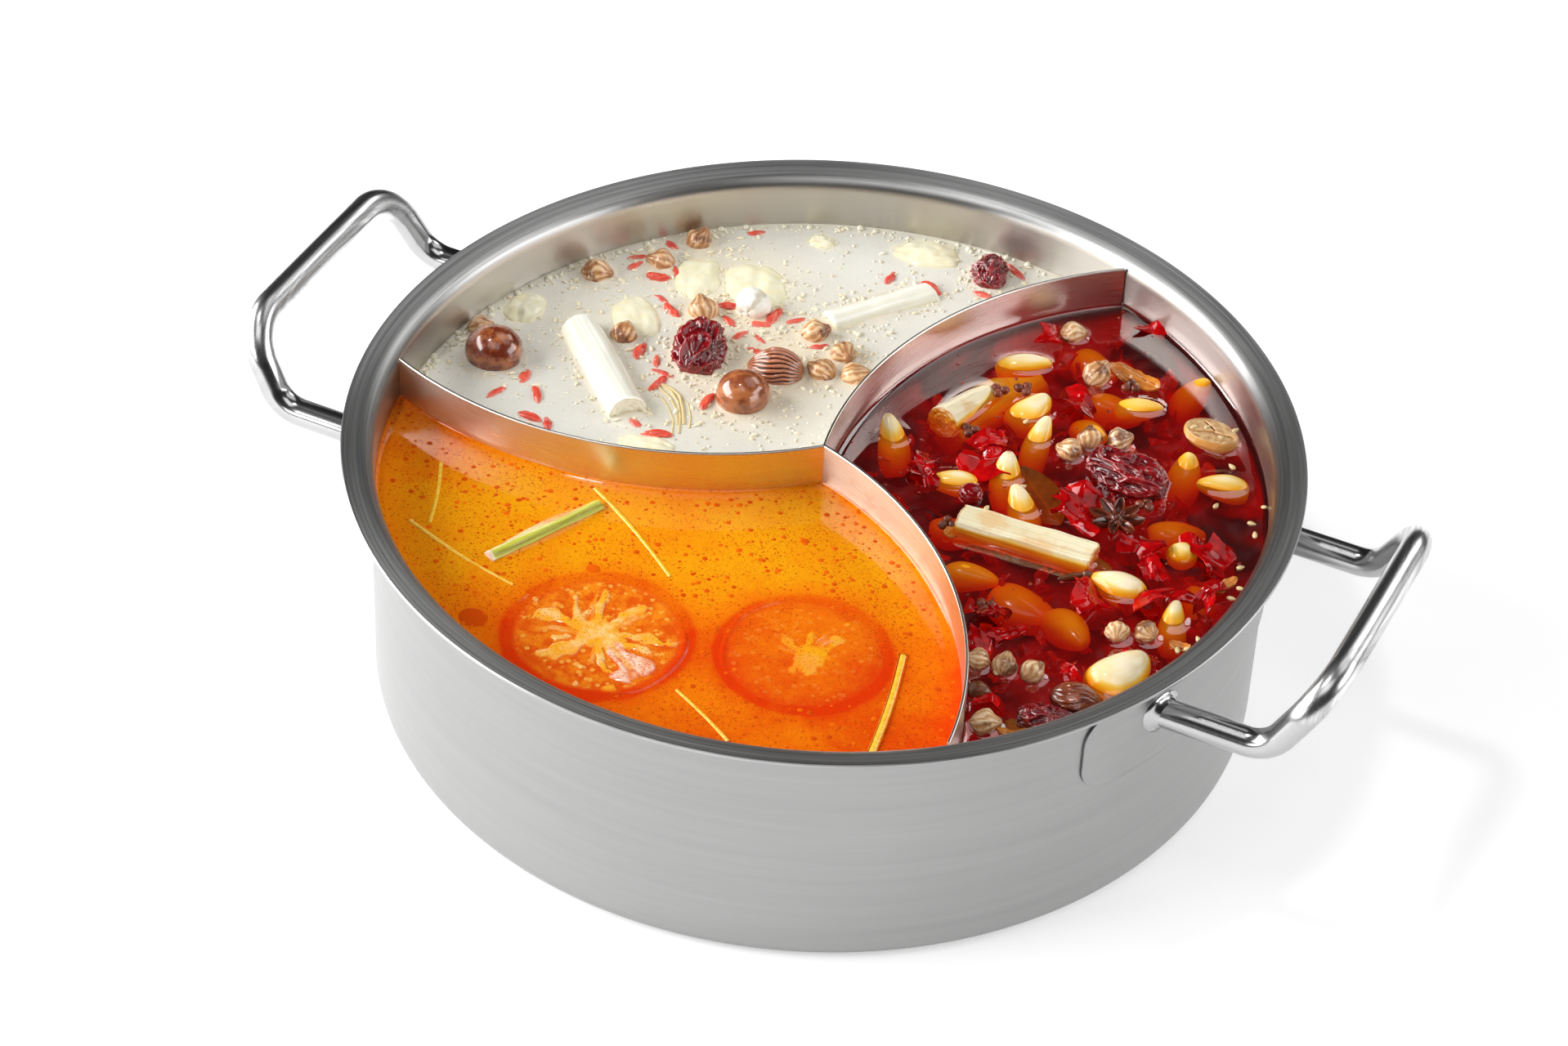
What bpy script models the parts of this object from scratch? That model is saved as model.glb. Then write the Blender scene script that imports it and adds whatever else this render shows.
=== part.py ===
"""A three-compartment steel hot pot filled with a milky, a tomato and a red oil broth.

Metres, +Z up. The origin is the middle of the base, and the two handles lie on the X axis.
"""

import math
from collections import namedtuple

import bmesh
import bpy
from mathutils import Euler, Matrix, Vector, noise

MM = 0.001

# Pot: one drawn sheet of steel with a rolled-out lip
RIM_RADIUS = 160.0 * MM
BODY_RADIUS = 150.3 * MM
POT_HEIGHT = 93.0 * MM
WALL = 1.2 * MM
BASE_CORNER = 5.0 * MM  # outside radius between wall and base
FLARE_RADIUS = 4.5 * MM  # outside radius where the wall turns out into the lip
LIP_SLOPE = math.radians(10.0)  # how much the lip still rises outwards
TURN_STEPS = 48
ARC_STEPS = 2  # straight pieces in each small arc of the pot's section

GAP = 0.3 * MM  # between neighbouring pieces

# Divider: three curved vanes from the axis to the wall, a third of a turn apart
VANE_COUNT = 3
VANE_RADIUS = 137.0 * MM  # of the arc that each vane follows
VANE_THICKNESS = 1.2 * MM
VANE_TOP = POT_HEIGHT - 3.5 * MM
VANE_START = 0.8 * MM  # the first vane's distance from the axis, which keeps the three apart
VANE_HEADING = math.radians(103.4)  # direction in which the first vane leaves the axis
VANE_STEPS = 12

# Handles: bent rod, on plates that follow the wall
ROD_RADIUS = 5.0 * MM
LEG_SPACING = 100.0 * MM  # between the legs of one handle
GRIP_SPACING = 92.0 * MM  # between its upper corners
LEG_Z = POT_HEIGHT - 21.0 * MM
LEG_REACH = 179.4 * MM  # distance from the axis at which the legs turn up
GRIP_REACH = 194.5 * MM
GRIP_Z = POT_HEIGHT + 5.0 * MM
LOWER_BEND = 13.0 * MM
UPPER_BEND = 17.0 * MM
PLATE_THICKNESS = 0.8 * MM
PLATE_HALF_ANGLE = math.radians(31.5)
PLATE_LOW = 52.5 * MM
PLATE_HIGH = 84.0 * MM
PLATE_CORNER = 11.0 * MM

# Broths: how far each stands below the rim
MILKY_LEVEL = POT_HEIGHT - 22.0 * MM
TOMATO_LEVEL = POT_HEIGHT - 20.0 * MM
RED_LEVEL = POT_HEIGHT - 19.5 * MM

# A topping: its centre (x, y) and rise over the broth, its (length, width, height), and the turn
# and tilt of its long axis. Millimetres and degrees.
Topping = namedtuple("Topping", "form x y rise length width height turn tilt")

MILKY_TOPPINGS = {
    "nutmeg_left": Topping("nut", -131, 10, 3.0, 20, 19, 17, 20, 0),
    "nutmeg_middle": Topping("nut", -44.5, 29.5, 2.5, 18.5, 18, 17, 50, 0),
    "nutmeg_ridged": Topping("ridged nut", -41.5, 49, 1.5, 20, 17, 17, 15, 0),
    "jujube_milky_near": Topping("jujube", -70, 46, 2.0, 26, 20, 17, 105, 4),
    "jujube_milky_far": Topping("jujube", 1, 136, 1.5, 16, 14.5, 13, 110, 6),
    "white_cardamom": Topping("pod", -64, 78, 2.5, 13.5, 12.5, 12, 100, 60),
    "scallion_milky_near": Topping("scallion", -94, 21, 0.5, 51, 14, 13, -43, 0),
    "scallion_milky_far": Topping("scallion", -25.5, 101, 0.0, 42, 11.5, 11, 54, 0),
    "pod_milky_1": Topping("pod", -99, 104, 1.0, 11, 10, 10, 60, 50),
    "pod_milky_2": Topping("pod", -105.5, 86.5, 0.5, 11, 10, 9.5, 200, 20),
    "pod_milky_3": Topping("pod", -79, 67.5, 1.5, 12, 11, 10.5, 130, 30),
    "pod_milky_4": Topping("pod", -97, 42.5, 0.5, 11, 10, 9.5, 100, 15),
    "pod_milky_5": Topping("pod", -122, 69.5, 1.0, 12, 11, 10, 10, 10),
    "pod_milky_6": Topping("pod", -38.5, 75, 1.0, 11.5, 10.5, 10, 30, 25),
    "pod_milky_7": Topping("pod", -24.5, 68.5, 1.0, 11, 10, 9.5, 320, 20),
    "pod_milky_8": Topping("pod", -27.5, 56.5, 1.0, 11.5, 10, 9.5, 170, 10),
    "pod_milky_9": Topping("pod", -16, 60, 0.5, 11, 10, 9.5, 30, 15),
}

TOMATO_TOPPINGS = {
    "tomato_slice_left": Topping("tomato slice", -30, -103.5, -3.0, 63, 62, 7, 20, 0),
    "tomato_slice_right": Topping("tomato slice", 31.5, -81, -3.1, 59, 57, 7, 75, 0),
    "green_stem": Topping("stem", -69, -67, 0.7, 46, 5, 4, 65, 0),
}

RED_TOPPINGS = {
    "garlic_1": Topping("clove", 11, 33, -3.0, 22, 12, 11, 125, 48),
    "garlic_2": Topping("clove", 33.5, 92, -1.0, 20, 11, 10, 30, 14),
    "garlic_3": Topping("clove", 46, 70, -2.0, 18, 14.5, 12, 60, 25),
    "garlic_4": Topping("clove", 54, 56, -3.0, 22, 10.5, 10, 95, 42),
    "garlic_5": Topping("clove", 37.5, 22.5, -1.5, 17.5, 11, 9.5, 200, 6),
    "garlic_6": Topping("clove", 53, 32.5, -3.0, 22, 12, 10, 120, 45),
    "garlic_7": Topping("clove", 65, 19.5, -3.0, 22, 12, 10, 127, 42),
    "garlic_8": Topping("clove", 78, 89.5, -2.0, 17, 10, 9, 25, 12),
    "garlic_9": Topping("clove", 118.5, 64, -1.5, 18, 12, 10, 200, 10),
    "garlic_10": Topping("clove", 107.5, -2, -1.0, 19, 13.5, 12, 185, 5),
    "garlic_11": Topping("clove", 126, -41.5, -1.0, 23, 19, 16, 60, 14),
    "garlic_12": Topping("clove", 130.5, -10, -3.0, 19, 10.5, 10, 112, 45),
    "garlic_half": Topping("half clove", 106, 85, -0.5, 20, 13, 8, 355, 0),
    "scallion_red_far": Topping("scallion", 25.6, 65, -3.0, 36, 12.5, 12, 77, -12),
    "scallion_red_near": Topping("scallion", 73, 3, 0.5, 48, 12, 10, 3, 0),
    "jujube_red_far": Topping("jujube", 90, 50, 3.0, 30, 18, 15, -8, 0),
    "jujube_red_near": Topping("jujube", 112.5, -74, 1.0, 17, 13, 12, 20, 0),
    "nutmeg_red": Topping("ridged nut", 117.5, -59, -0.5, 17, 13, 12, 15, 0),
    "pod_red_1": Topping("pod", 66.5, 54, 1.5, 9.5, 9, 9, 200, 20),
    "pod_red_2": Topping("pod", 70, 63.5, 1.5, 9.5, 9, 8.5, 110, 30),
    "pod_red_3": Topping("pod", 79.8, 67.4, 1.5, 9.5, 9, 8.5, 30, 20),
    "pod_red_4": Topping("pod", 59, 97, 2.0, 11.5, 10, 9.5, 70, 30),
    "pod_red_5": Topping("pod", 42, 116, 1.0, 10, 9, 8.5, 20, 10),
    "pod_red_6": Topping("pod", 117.2, -25, 1.5, 9, 8.6, 8.4, 110, 65),
    "pod_red_7": Topping("pod", 125.6, -20.4, 1.5, 9, 8.6, 8.2, 330, 15),
    "pod_red_8": Topping("pod", 82.8, -58.4, 1.5, 8.6, 8.2, 8, 200, 15),
    "pod_red_9": Topping("pod", 91.6, -56.2, 1.5, 8.8, 8.6, 8.2, 100, 30),
    "pod_red_10": Topping("pod", 100.8, -55.6, 2.0, 9, 8.6, 8.4, 60, 25),
    "pod_red_11": Topping("pod", 97.2, -84, 1.0, 10.5, 9.6, 9, 20, 10),
}


def clear_scene():
    for obj in list(bpy.data.objects):
        bpy.data.objects.remove(obj, do_unlink=True)


def new_collection(name, parent):
    collection = bpy.data.collections.new(name)
    parent.children.link(collection)
    return collection


def principled(name, colour, metallic=0.0, roughness=0.5):
    material = bpy.data.materials.new(name)
    material.use_nodes = True
    shader = material.node_tree.nodes["Principled BSDF"]
    shader.inputs["Base Color"].default_value = (*colour, 1.0)
    shader.inputs["Metallic"].default_value = metallic
    shader.inputs["Roughness"].default_value = roughness
    material.diffuse_color = (*colour, 1.0)
    return material


def add_object(name, data, collection, material=None):
    obj = bpy.data.objects.new(name, data)
    collection.objects.link(obj)
    if material:
        data.materials.append(material)
    return obj


def as_cutter(obj):
    obj.hide_render = True
    obj.display_type = "WIRE"
    return obj


def add_boolean(obj, operation, other):
    cut = obj.modifiers.new(operation.lower(), "BOOLEAN")
    cut.operation = operation
    cut.solver = "EXACT"
    if isinstance(other, bpy.types.Collection):
        cut.operand_type = "COLLECTION"
        cut.collection = other
    else:
        cut.object = other


def smooth(mesh, sharp_degrees=35.0):
    mesh.shade_smooth()
    mesh.set_sharp_from_angle(angle=math.radians(sharp_degrees))


def mesh_of(bm, name):
    mesh = bpy.data.meshes.new(name)
    bmesh.ops.recalc_face_normals(bm, faces=bm.faces)
    bm.to_mesh(mesh)
    bm.free()
    smooth(mesh)
    return mesh


def curve_to_mesh(curve_object, name, collection, material=None):
    """The curve's solid as a mesh object with its caps welded on. The curve is removed."""
    bpy.context.view_layer.update()
    evaluated = curve_object.evaluated_get(bpy.context.evaluated_depsgraph_get())
    mesh = bpy.data.meshes.new_from_object(evaluated)
    bm = bmesh.new()
    bm.from_mesh(mesh)
    bmesh.ops.remove_doubles(bm, verts=bm.verts, dist=1e-6)
    bmesh.ops.recalc_face_normals(bm, faces=bm.faces)
    bm.to_mesh(mesh)
    bm.free()
    mesh.name = name
    mesh.materials.clear()
    matrix = curve_object.matrix_world.copy()
    bpy.data.objects.remove(curve_object, do_unlink=True)
    obj = add_object(name, mesh, collection, material)
    obj.matrix_world = matrix
    return obj


def turned(name, section, collection, material=None):
    """A section of (radius, z) points, which runs down its outer side, turned about Z."""
    mesh = bpy.data.meshes.new(name)
    links = [(i, i + 1) for i in range(len(section) - 1)]
    mesh.from_pydata([(radius, 0.0, z) for radius, z in section], links, [])
    obj = add_object(name, mesh, collection, material)
    turn = obj.modifiers.new("turn", "SCREW")
    turn.steps = turn.render_steps = TURN_STEPS
    turn.use_merge_vertices = True
    turn.merge_threshold = 1e-6
    turn.use_smooth_shade = True
    return obj


def arc(centre, radius, start, end, steps):
    """(steps + 1) points of an arc, with its angles in radians."""
    angles = [start + (end - start) * i / steps for i in range(steps + 1)]
    return [(centre[0] + radius * math.cos(a), centre[1] + radius * math.sin(a)) for a in angles]


def pot_line(inset):
    """The pot's section from the middle of the base to the lip's edge, set in from the outside."""
    corner = arc(
        (BODY_RADIUS - BASE_CORNER, BASE_CORNER), BASE_CORNER - inset, -math.pi / 2, 0, ARC_STEPS
    )
    lip_turn = math.pi / 2 + LIP_SLOPE
    flare_centre_r = BODY_RADIUS + FLARE_RADIUS
    inner = FLARE_RADIUS + WALL
    lip_rise = (RIM_RADIUS - flare_centre_r - inner * math.cos(lip_turn)) * math.tan(LIP_SLOPE)
    flare_centre_z = POT_HEIGHT - inner * math.sin(lip_turn) - lip_rise
    flare = arc(
        (flare_centre_r, flare_centre_z), FLARE_RADIUS + inset, math.pi, lip_turn, ARC_STEPS + 1
    )
    edge_z = flare[-1][1] + (RIM_RADIUS - flare[-1][0]) * math.tan(LIP_SLOPE)
    return [(0.0, inset)] + corner + flare + [(RIM_RADIUS, edge_z)]


def contents_core(name, top, collection):
    """The pot's inside up to the given height, less the gap, as a cutter."""
    inset = WALL + GAP
    corner = arc(
        (BODY_RADIUS - BASE_CORNER, BASE_CORNER), BASE_CORNER - inset, 0, -math.pi / 2, ARC_STEPS
    )
    section = [(0.0, top), (BODY_RADIUS - inset, top)] + corner + [(0.0, inset)]
    return as_cutter(turned(name, section, collection))


def vane_point(index, side, sweep):
    """A point on the vane's arc after that many radians, offset to its left by side."""
    heading = VANE_HEADING + index * math.tau / VANE_COUNT
    centre = Vector((math.sin(heading), -math.cos(heading))) * VANE_RADIUS
    angle = heading + math.pi / 2 - sweep
    return centre + Vector((math.cos(angle), math.sin(angle))) * (VANE_RADIUS + side)


def vane_sweep(distance):
    """How far along its arc a vane is when it is that far from the axis."""
    return 2 * math.asin(distance / (2 * VANE_RADIUS))


def make_vane(index, core, parts, steel):
    """A sheet stood on its arc from the axis to past the wall, and trimmed to the pot's inside."""
    start, end = vane_sweep(VANE_START), vane_sweep(BODY_RADIUS + 5 * MM)
    bm = bmesh.new()
    line = []
    for i in range(VANE_STEPS + 1):
        point = vane_point(index, 0.0, start + (end - start) * i / VANE_STEPS)
        line.append(bm.verts.new((*point, 0.0)))
    edges = [bm.edges.new(pair) for pair in zip(line, line[1:])]
    raised = bmesh.ops.extrude_edge_only(bm, edges=edges)["geom"]
    top = [v for v in raised if isinstance(v, bmesh.types.BMVert)]
    bmesh.ops.translate(bm, verts=top, vec=(0, 0, POT_HEIGHT))
    obj = add_object(f"divider_vane_{index + 1}", mesh_of(bm, "vane"), parts, steel)
    sheet = obj.modifiers.new("sheet", "SOLIDIFY")
    sheet.thickness = VANE_THICKNESS
    sheet.offset = 0.0
    add_boolean(obj, "INTERSECT", core)


def make_broth(name, index, level, parts, cutters, material):
    """What lies to the left of one vane and to the right of the next, up to its level."""
    side = VANE_THICKNESS / 2 + GAP
    beyond = BODY_RADIUS + 20 * MM
    start, end = vane_sweep(VANE_START), vane_sweep(beyond)
    sweeps = [start + (end - start) * i / VANE_STEPS for i in range(1, VANE_STEPS + 1)]
    left = [vane_point(index, side, sweep) for sweep in sweeps]
    right = [vane_point(index + 1, -side, sweep) for sweep in sweeps]
    first = math.atan2(left[-1].y, left[-1].x)
    span = (math.atan2(right[-1].y, right[-1].x) - first) % math.tau
    outer = [Vector(p) for p in arc((0, 0), beyond, first, first + span, 8)[1:-1]]
    middle = VANE_HEADING + (index + 0.5) * math.tau / VANE_COUNT
    corner_distance = side / math.sin(math.pi / VANE_COUNT)
    corner = Vector((math.cos(middle), math.sin(middle))) * corner_distance

    data = bpy.data.curves.new(name, "CURVE")
    data.dimensions = "2D"
    data.fill_mode = "BOTH"
    data.extrude = POT_HEIGHT / 2
    outline = [corner] + left + outer + right[::-1]
    spline = data.splines.new("POLY")
    spline.points.add(len(outline) - 1)
    for point, place in zip(spline.points, outline):
        point.co = (place.x, place.y, 0.0, 1.0)
    spline.use_cyclic_u = True
    prism = add_object(name + "_prism", data, parts)
    prism.location.z = POT_HEIGHT / 2
    obj = curve_to_mesh(prism, name, parts, material)
    add_boolean(obj, "INTERSECT", contents_core(name + "_core", level, cutters))
    return obj


def filleted(corners, radii, steps):
    """A path through the corners, each but the ends rounded by an arc of its radius."""
    path = [corners[0]]
    for before, corner, after, radius in zip(corners, corners[1:], corners[2:], radii):
        back, ahead = (before - corner).normalized(), (after - corner).normalized()
        half = back.angle(ahead) / 2
        reach = radius / math.tan(half)
        centre = corner + (back + ahead).normalized() * (radius / math.sin(half))
        first = (corner + back * reach - centre).normalized()
        last = (corner + ahead * reach - centre).normalized()
        for i in range(steps + 1):
            path.append(centre + first.slerp(last, i / steps) * radius)
    path.append(corners[-1])
    return path


def make_handle(name, turn, wall_cutter, parts, steel):
    """A round rod: out from the wall, up, across and back, cut to the plate behind it."""
    root = BODY_RADIUS - 20 * MM
    half = [
        Vector((root, LEG_SPACING / 2, LEG_Z)),
        Vector((LEG_REACH, LEG_SPACING / 2, LEG_Z)),
        Vector((GRIP_REACH, GRIP_SPACING / 2, GRIP_Z)),
    ]
    corners = half + [Vector((p.x, -p.y, p.z)) for p in reversed(half)]
    radii = [LOWER_BEND, UPPER_BEND, UPPER_BEND, LOWER_BEND]
    data = bpy.data.curves.new(name, "CURVE")
    data.dimensions = "3D"
    data.bevel_depth = ROD_RADIUS
    data.bevel_resolution = 2
    data.use_fill_caps = True
    path = filleted(corners, radii, 3)
    spline = data.splines.new("POLY")
    spline.points.add(len(path) - 1)
    for point, place in zip(spline.points, path):
        point.co = (*place, 1.0)
    rod = add_object(name + "_rod", data, parts)
    rod.rotation_euler.z = turn
    obj = curve_to_mesh(rod, name, parts, steel)
    smooth(obj.data)
    add_boolean(obj, "DIFFERENCE", wall_cutter)


def make_plate(name, turn, parts, steel):
    """A thin sheet with rounded corners, wrapped round the outside of the wall."""
    radius = BODY_RADIUS + GAP
    facet = math.tau / TURN_STEPS
    corner_angle = PLATE_CORNER / radius
    corner_steps = 3
    ends = [
        PLATE_HALF_ANGLE - corner_angle * (1 - math.sin(math.pi / 2 * i / corner_steps))
        for i in range(corner_steps + 1)
    ]
    wall_edges = [i * facet for i in range(int((PLATE_HALF_ANGLE - corner_angle) / facet) + 1)]
    half = wall_edges + ends
    angles = [-a for a in reversed(half[1:])] + half
    bm = bmesh.new()
    rows = [[], []]
    for a in angles:
        into = max(0.0, abs(a) - (PLATE_HALF_ANGLE - corner_angle)) / corner_angle
        trim = PLATE_CORNER * (1 - math.sqrt(max(0.0, 1 - into * into)))
        for row, z in zip(rows, (PLATE_LOW + trim, PLATE_HIGH - trim)):
            row.append(bm.verts.new((radius * math.cos(a), radius * math.sin(a), z)))
    for i in range(len(angles) - 1):
        bm.faces.new((rows[0][i], rows[0][i + 1], rows[1][i + 1], rows[1][i]))
    obj = add_object(name, mesh_of(bm, "handle_plate"), parts, steel)
    obj.rotation_euler.z = turn
    sheet = obj.modifiers.new("sheet", "SOLIDIFY")
    sheet.thickness = PLATE_THICKNESS
    sheet.offset = 1.0


def rounded_form(name, swell, around=8, along=5):
    """A unit ball with its poles on X, its cross-section scaled by swell(u, angle, seed point)."""
    bm = bmesh.new()
    bmesh.ops.create_uvsphere(bm, u_segments=around, v_segments=along, radius=0.5)
    bmesh.ops.rotate(bm, verts=bm.verts, matrix=Matrix.Rotation(math.pi / 2, 3, "Y"))
    for v in bm.verts:
        u = 2 * v.co.x
        angle = math.atan2(v.co.z, v.co.y)
        wide = swell(u, angle, v.co.normalized())
        v.co.y *= wide
        v.co.z *= wide
    return mesh_of(bm, name)


def unevenness(point, seed, scale, amount):
    return 1 + amount * noise.noise(point * scale + Vector((seed * 7.3, seed * 3.1, seed * 1.7)))


def pod_form(name, seed):
    """A small ribbed seed pod, drawn in towards its tip."""
    return rounded_form(
        name,
        lambda u, a, p: (1 - 0.12 * max(u, 0) - 0.04 * (1 - math.cos(4 * a)))
        * unevenness(p, seed, 1.5, 0.08),
        along=4,
    )


def nut_form(name, seed):
    return rounded_form(
        name, lambda u, a, p: (1 - 0.05 * u) * unevenness(p, seed, 1.2, 0.08), along=6
    )


def ridged_nut_form(name, seed):
    return rounded_form(
        name,
        lambda u, a, p: (1 - 0.03 * (1 - math.cos(5 * a))) * unevenness(p, seed, 2, 0.1),
        around=10,
    )


def jujube_form(name, seed):
    """A dried date whose skin has sunk into long wrinkles."""
    return rounded_form(
        name,
        lambda u, a, p: (0.96 + 0.06 * math.cos(5 * a + 2 * u + seed))
        * unevenness(p, seed, 3, 0.16),
        around=10,
        along=6,
    )


def clove_form(name, seed):
    """A garlic clove: round at the butt, drawn out to a point, flatter below."""

    def swell(u, angle, point):
        taper = 1 - 0.42 * max(0.0, (u + 0.15)) ** 1.3
        flat = 1 - 0.12 * max(0.0, -math.sin(angle))
        return taper * flat * unevenness(point, seed, 1.4, 0.08)

    return rounded_form(name, swell)


def half_clove_form(name, seed):
    """A clove cut lengthwise, with its flat face up."""
    cut_height = 0.12  # of the clove's thickness, over its middle
    kept = 0.5 + cut_height
    bm = bmesh.new()
    bm.from_mesh(clove_form(name, seed))
    everything = list(bm.verts) + list(bm.edges) + list(bm.faces)
    cut = bmesh.ops.bisect_plane(
        bm, geom=everything, plane_co=(0, 0, cut_height), plane_no=(0, 0, 1), clear_outer=True
    )
    rim = [item for item in cut["geom_cut"] if isinstance(item, bmesh.types.BMEdge)]
    bmesh.ops.edgeloop_fill(bm, edges=rim)
    for v in bm.verts:
        v.co.z = (v.co.z - cut_height) / kept + 0.5
    return mesh_of(bm, name)


def scallion_form(name, seed):
    """A cut length of stalk, slightly bowed, with both cut faces across its axis."""
    bm = bmesh.new()
    bmesh.ops.create_cone(bm, cap_ends=True, segments=10, radius1=0.5, radius2=0.47, depth=1.0)
    sides = [e for e in bm.edges if abs(e.verts[0].co.z - e.verts[1].co.z) > 0.5]
    bmesh.ops.subdivide_edges(bm, edges=sides, cuts=1)
    bmesh.ops.rotate(bm, verts=bm.verts, matrix=Matrix.Rotation(math.pi / 2, 3, "Y"))
    bow = 0.10 * math.cos(seed)
    for v in bm.verts:
        wide = unevenness(v.co, seed, 2, 0.1)
        v.co.z *= wide
        v.co.y = v.co.y * wide + bow * (0.25 - v.co.x * v.co.x)
    return mesh_of(bm, name)


def stem_form(name, seed):
    """A strip of green stem, bowed sideways a little."""
    bm = bmesh.new()
    bmesh.ops.create_cone(bm, cap_ends=True, segments=8, radius1=0.5, radius2=0.42, depth=1.0)
    sides = [e for e in bm.edges if abs(e.verts[0].co.z - e.verts[1].co.z) > 0.5]
    bmesh.ops.subdivide_edges(bm, edges=sides, cuts=2)
    bmesh.ops.rotate(bm, verts=bm.verts, matrix=Matrix.Rotation(math.pi / 2, 3, "Y"))
    for v in bm.verts:
        v.co.y += 0.8 * (0.25 - v.co.x * v.co.x)
    return mesh_of(bm, name)


def tomato_slice_form(name, seed):
    """A round slice: a rounded edge, and a ring of seed pockets sunk between the ribs of flesh."""
    around, pockets = 18, 6
    pocket_ring = 0.34
    pocket_floor, face = 0.36, 0.50
    section = [
        (0.0, -face),
        (0.48, -face),
        (0.50, 0.28),
        (0.455, face),
        (pocket_ring, pocket_floor),
        (0.16, face),
        (0.0, face),
    ]
    bm = bmesh.new()
    line = [bm.verts.new((radius, 0.0, z)) for radius, z in section]
    edges = [bm.edges.new(pair) for pair in zip(line, line[1:])]
    bmesh.ops.spin(
        bm, geom=line + edges, cent=(0, 0, 0), axis=(0, 0, 1), angle=math.tau, steps=around
    )
    bmesh.ops.remove_doubles(bm, verts=bm.verts, dist=1e-5)
    for v in bm.verts:
        angle = math.atan2(v.co.y, v.co.x)
        on_rib = max(0.0, math.cos(pockets * angle + seed)) ** 0.5
        if abs(v.co.z - pocket_floor) < 1e-4:
            v.co.z += (face - pocket_floor) * on_rib
        outline = 1 + 0.02 * math.cos(5 * angle + seed) + 0.01 * math.cos(3 * angle)
        v.co.x *= outline
        v.co.y *= outline
    return mesh_of(bm, name)


FORMS = {
    "pod": pod_form,
    "nut": nut_form,
    "ridged nut": ridged_nut_form,
    "jujube": jujube_form,
    "clove": clove_form,
    "half clove": half_clove_form,
    "scallion": scallion_form,
    "stem": stem_form,
    "tomato slice": tomato_slice_form,
}

FORM_COLOURS = {
    "pod": (0.50, 0.34, 0.17),
    "nut": (0.22, 0.08, 0.03),
    "ridged nut": (0.14, 0.05, 0.03),
    "jujube": (0.16, 0.01, 0.015),
    "clove": (0.85, 0.62, 0.24),
    "half clove": (0.72, 0.62, 0.42),
    "scallion": (0.82, 0.76, 0.55),
    "stem": (0.38, 0.36, 0.05),
    "tomato slice": (0.75, 0.16, 0.04),
}


def hull_of(mesh, name):
    bm = bmesh.new()
    bm.from_mesh(mesh)
    made = bmesh.ops.convex_hull(bm, input=list(bm.verts))
    inner = [item for item in made["geom_interior"] if isinstance(item, bmesh.types.BMVert)]
    bmesh.ops.delete(bm, geom=inner, context="VERTS")
    skin = set(made["geom"])
    loose = [face for face in bm.faces if face not in skin]
    bmesh.ops.delete(bm, geom=loose, context="FACES_KEEP_BOUNDARY")
    return mesh_of(bm, name)


def make_toppings(toppings, level, broth, parts, cutters):
    """Each topping, and the socket for it: its convex outline, slightly larger, cut from the broth."""
    sockets = new_collection(broth.name + "_sockets", cutters)
    for seed, (name, topping) in enumerate(toppings.items(), start=1):
        size = Vector((topping.length, topping.width, topping.height)) * MM
        mesh = FORMS[topping.form](name, seed)
        mesh.transform(Matrix.Diagonal((*size, 1.0)))
        colour = FORM_COLOURS[topping.form]
        obj = add_object(name, mesh, parts, principled(name, colour, roughness=0.4))
        obj.location = (topping.x * MM, topping.y * MM, level + topping.rise * MM)
        turn, tilt = math.radians(topping.turn), math.radians(topping.tilt)
        obj.rotation_euler = Euler((0.0, -tilt, turn))
        hull = hull_of(mesh, name + "_socket")
        socket = as_cutter(add_object(name + "_socket", hull, sockets))
        socket.location = obj.location
        socket.rotation_euler = obj.rotation_euler
        socket.scale = [(s + 2.2 * GAP) / s for s in size]
    add_boolean(broth, "DIFFERENCE", sockets)


def main():
    clear_scene()
    parts = new_collection("hot_pot", bpy.context.scene.collection)
    cutters = new_collection("cutters", bpy.context.scene.collection)

    brushed = principled("brushed_steel", (0.60, 0.60, 0.59), 1.0, 0.32)
    polished = principled("polished_steel", (0.66, 0.66, 0.66), 1.0, 0.14)

    section = pot_line(WALL) + pot_line(0.0)[::-1]
    turned("pot_body", section, parts, brushed)

    vane_core = contents_core("vane_core", VANE_TOP, cutters)
    for index in range(VANE_COUNT):
        make_vane(index, vane_core, parts, brushed)

    plate_face = BODY_RADIUS + GAP + PLATE_THICKNESS + GAP
    wall_section = [
        (0.0, PLATE_HIGH),
        (plate_face, PLATE_HIGH),
        (plate_face, PLATE_LOW),
        (0.0, PLATE_LOW),
    ]
    wall_cutter = as_cutter(turned("wall_cutter", wall_section, cutters))
    for side, turn in (("right", 0.0), ("left", math.pi)):
        make_plate(f"handle_plate_{side}", turn, parts, brushed)
        make_handle(f"handle_{side}", turn, wall_cutter, parts, polished)

    milky = principled("milky_broth", (0.62, 0.60, 0.48), roughness=0.15)
    tomato = principled("tomato_broth", (0.80, 0.20, 0.01), roughness=0.15)
    red = principled("red_oil_broth", (0.20, 0.005, 0.003), roughness=0.08)
    broths = (
        ("broth_milky", 0, MILKY_LEVEL, MILKY_TOPPINGS, milky),
        ("broth_tomato", 1, TOMATO_LEVEL, TOMATO_TOPPINGS, tomato),
        ("broth_red", 2, RED_LEVEL, RED_TOPPINGS, red),
    )
    for name, index, level, toppings, material in broths:
        broth = make_broth(name, index, level, parts, cutters, material)
        make_toppings(toppings, level, broth, parts, cutters)


main()
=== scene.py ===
import math

import bmesh
import bpy
import numpy as np
from mathutils import Matrix, Vector, noise


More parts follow.
